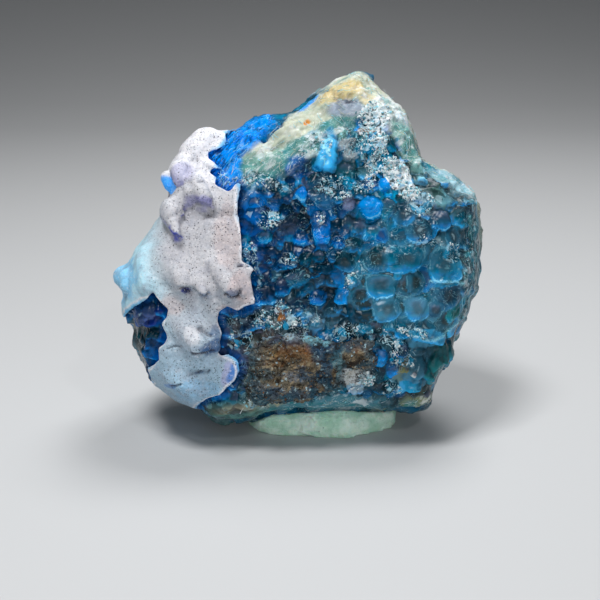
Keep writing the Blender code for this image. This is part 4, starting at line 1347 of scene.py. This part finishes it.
def scattered(name, made, chance, count, tones, light, sizes, seed):
    """Small irregular grains that sit in a surface where chance has them, each with a colour of its own."""
    random = np.random.default_rng(seed)
    points, normals = surface(made)
    chosen = random.choice(len(points), count, replace=False, p=chance / chance.sum())
    tones = [linear(tone) for tone in tones]
    colours = np.array([tones[random.integers(len(tones))] * random.uniform(*light) for _ in chosen])
    radii = random.uniform(*sizes, count)

    random = np.random.default_rng(seed + 1)
    whole = bmesh.new()
    for start in range(0, count, GRAIN_BATCH):
        form = bmesh.new()
        batch = slice(start, start + GRAIN_BATCH)
        for index, radius in zip(chosen[batch], radii[batch]):
            turn = Vector(normals[index]).to_track_quat("Z", "Y").to_matrix().to_4x4()
            spin = Matrix.Rotation(random.uniform(0, 6.28), 4, "Z")
            spin = spin @ Matrix.Rotation(random.normal(0, 0.6), 4, "X")
            shape = Matrix.Diagonal((*(radius * random.uniform((0.6, 0.4, 0.3), (1.4, 1.0, 0.8))), 1))
            matrix = Matrix.Translation(points[index]) @ turn @ spin @ shape
            bmesh.ops.create_icosphere(form, subdivisions=1, radius=1, matrix=matrix)
        part = bpy.data.meshes.new("batch")
        form.to_mesh(part)
        form.free()
        whole.from_mesh(part)
        bpy.data.meshes.remove(part)
    grains = from_form(name, whole)
    corners = len(grains.data.vertices) // count
    points = read(grains)
    shake = shaken(points, 0.25, 1, (1.0, 2.0, 3.0))
    moved(grains, points + shake * np.repeat(radii, corners)[:, None] * 0.5)
    painted(grains, tint=np.repeat(colours, corners, axis=0))
    return grains


def powder_piece(mass, powder, crinkle):
    """White and grey flakes in the powdery patches, with a few more over the whole face."""
    points, normals = surface(mass)
    clump = eased(0.0, 0.35, noise(points, 0.9, 2, 33.0))
    chance = (powder**2 + crinkle**2 * 0.025) * clump * (normals[:, 1] < -0.1)
    tones = ("chalk", "chalk", "grey_teal", "chalk", "pale_cyan")
    return scattered(
        "powder_flakes", mass, chance, FLAKES, tones, light=(0.75, 1.0), sizes=(0.07, 0.20), seed=41
    )


def grain_piece(rock):
    """Rusty, dark and pale grains over the brown rock."""
    points, normals = surface(rock)
    chance = (eased(-0.3, 0.4, noise(points, 1.2, 2, 3.0)) + 0.1) * (normals[:, 1] < -0.1)
    tones = (
        "rust", "brown", "black_brown", "black_brown", "tan", "grey_brown", "black_brown", "lavender_grey",
    )
    return scattered(
        "rock_grains", rock, chance, GRAINS, tones, light=(0.25, 0.95), sizes=(0.05, 0.14), seed=51
    )


def fibre_piece(mass, rind, streaked):
    """Thin curled fibres on the rind, and straighter ones along the bright blue streaks."""
    random = np.random.default_rng(61)
    points, normals = surface(mass)
    form = bmesh.new()
    layer = form.verts.layers.float_color.new("tint")
    kinds = (
        (rind, RIND_FIBRES, ("pale_cyan", "rind_beige", "chalk"), 1.2),
        (streaked, STREAK_FIBRES, ("sky", "azure", "pale_cyan"), 0.15),
    )
    for share, count, tones, spread in kinds:
        for index in random.choice(len(points), count, replace=False, p=share / share.sum()):
            length = random.uniform(0.7, 1.9)
            angle = math.radians(50) + random.normal(0, spread)
            along = Vector((math.sin(angle), 0, math.cos(angle)))
            normal = Vector(normals[index])
            along = (along - normal * along.dot(normal)).normalized()
            turn = along.to_track_quat("Z", "Y").to_matrix().to_4x4()
            place = Matrix.Translation(Vector(points[index]) + normal * 0.04)
            fibre = bmesh.ops.create_cone(
                form, cap_ends=True, segments=4, radius1=0.03, radius2=0.015, depth=length,
                matrix=place @ turn,
            )
            colour = (*linear(tones[random.integers(len(tones))]), 1)
            for vertex in fibre["verts"]:
                vertex[layer] = colour
    long_edges = [edge for edge in form.edges if edge.calc_length() > 0.4]
    bmesh.ops.subdivide_edges(form, edges=long_edges, cuts=5)
    made = from_form("fine_fibres", form)
    points = read(made)
    moved(made, points + shaken(points, 0.8, 2, (5.0, 6.0, 7.0)) * 0.28)
    return made


def dressed(made, material, slot, *nodes):
    """Move a finished piece to its place in the specimen, within its own size, and give it its material."""
    made.data.transform(TO_WORLD)
    low, high = (np.array(corner) for corner in cad_box)
    moved(made, np.clip(read(made), low, high))
    made.data.materials.clear()
    made.data.materials.append(material)
    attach(made, "root")
    if nodes:
        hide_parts(*nodes)


def specimen():
    """The stone, its crust, the rock, the putty and the fine loose matter."""
    nodes = frame["nodes"]
    mass = refined("blue_mass", nodes["blue_allophane"], MASS_GRAIN, smoothing=6)
    crust = crust_piece(nodes["white_crust"], mass)
    rock = rock_piece(nodes["brown_matrix"], mass)
    putty = refined("putty_lump", nodes["putty"], PUTTY_GRAIN, smoothing=6)
    mass, powder, rind, streaked, crinkle = blue_piece(mass, (crust, rock, putty))
    flakes = powder_piece(mass, powder, crinkle)
    grains = grain_piece(rock)
    hairs = fibre_piece(mass, rind, streaked)

    dressed(mass, blue_finish(), "blue_allophane", "blue_allophane")
    dressed(crust, crust_finish(), "white_crust", "white_crust")
    dressed(rock, rock_finish(), "brown_matrix", "brown_matrix")
    dressed(putty, putty_finish(), "putty", "putty")
    dressed(flakes, grain_finish("white flakes", 0.5), "blue_allophane")
    dressed(grains, grain_finish("rock grains", 0.6), "brown_matrix")
    dressed(hairs, grain_finish("fine fibres", 0.35), "blue_allophane")


def studio():
    """A pale floor that curves up behind the specimen, five soft lights and a dim sky."""
    form = bmesh.new()
    edge = [form.verts.new((-1.2, y, z)) for y, z in ((-1.0, 0.0), (0.5, 0.0), (0.9, 0.4), (0.9, 1.6))]
    lines = [form.edges.new(pair) for pair in zip(edge, edge[1:])]
    bmesh.ops.extrude_edge_only(form, edges=lines)
    form.verts.ensure_lookup_table()
    bmesh.ops.translate(form, verts=form.verts[4:], vec=(2.4, 0.0, 0.0))
    bmesh.ops.recalc_face_normals(form, faces=form.faces)
    sweep = {"width": 0.35, "segments": 12, "limit_method": "ANGLE"}
    floor = applied(from_form("floor", form), ("BEVEL", sweep))
    floor.data.shade_smooth()
    floor.data.materials.append(Finish("paper", 0.8, Base_Color=(0.58, 0.59, 0.60, 1)).material)

    for name, place, size, power in LAMPS:
        light = bpy.data.lights.new(name, "AREA")
        light.shape = "SQUARE"
        light.size = size
        light.energy = power
        lamp = linked(name, light)
        lamp.location = place
        lamp.rotation_euler = (Vector(place) - Vector((0, 0, 0.02))).to_track_quat("Z", "Y").to_euler()
    world = bpy.data.worlds.new("studio")
    world.use_nodes = True
    sky = world.node_tree.nodes["Background"].inputs
    sky["Color"].default_value = (0.8, 0.85, 0.9, 1)
    sky["Strength"].default_value = 0.07
    bpy.context.scene.world = world
    bpy.context.scene.view_settings.view_transform = "Standard"


def camera_in_place():
    """A camera that looks straight at the stone's face."""
    lens = bpy.data.cameras.new("camera")
    lens.lens = 70
    lens.sensor_width = 36
    lens.clip_start = 0.001
    away = Vector((0.0, -math.cos(LEAN), math.sin(LEAN)))
    camera = linked("camera", lens)
    camera.location = TO_WORLD @ FACE_CENTRE + away * CAMERA_AWAY
    camera.rotation_euler = (-away).to_track_quat("-Z", "Y").to_euler()
    bpy.context.scene.camera = camera


def main():
    specimen()
    studio()
    camera_in_place()


main()
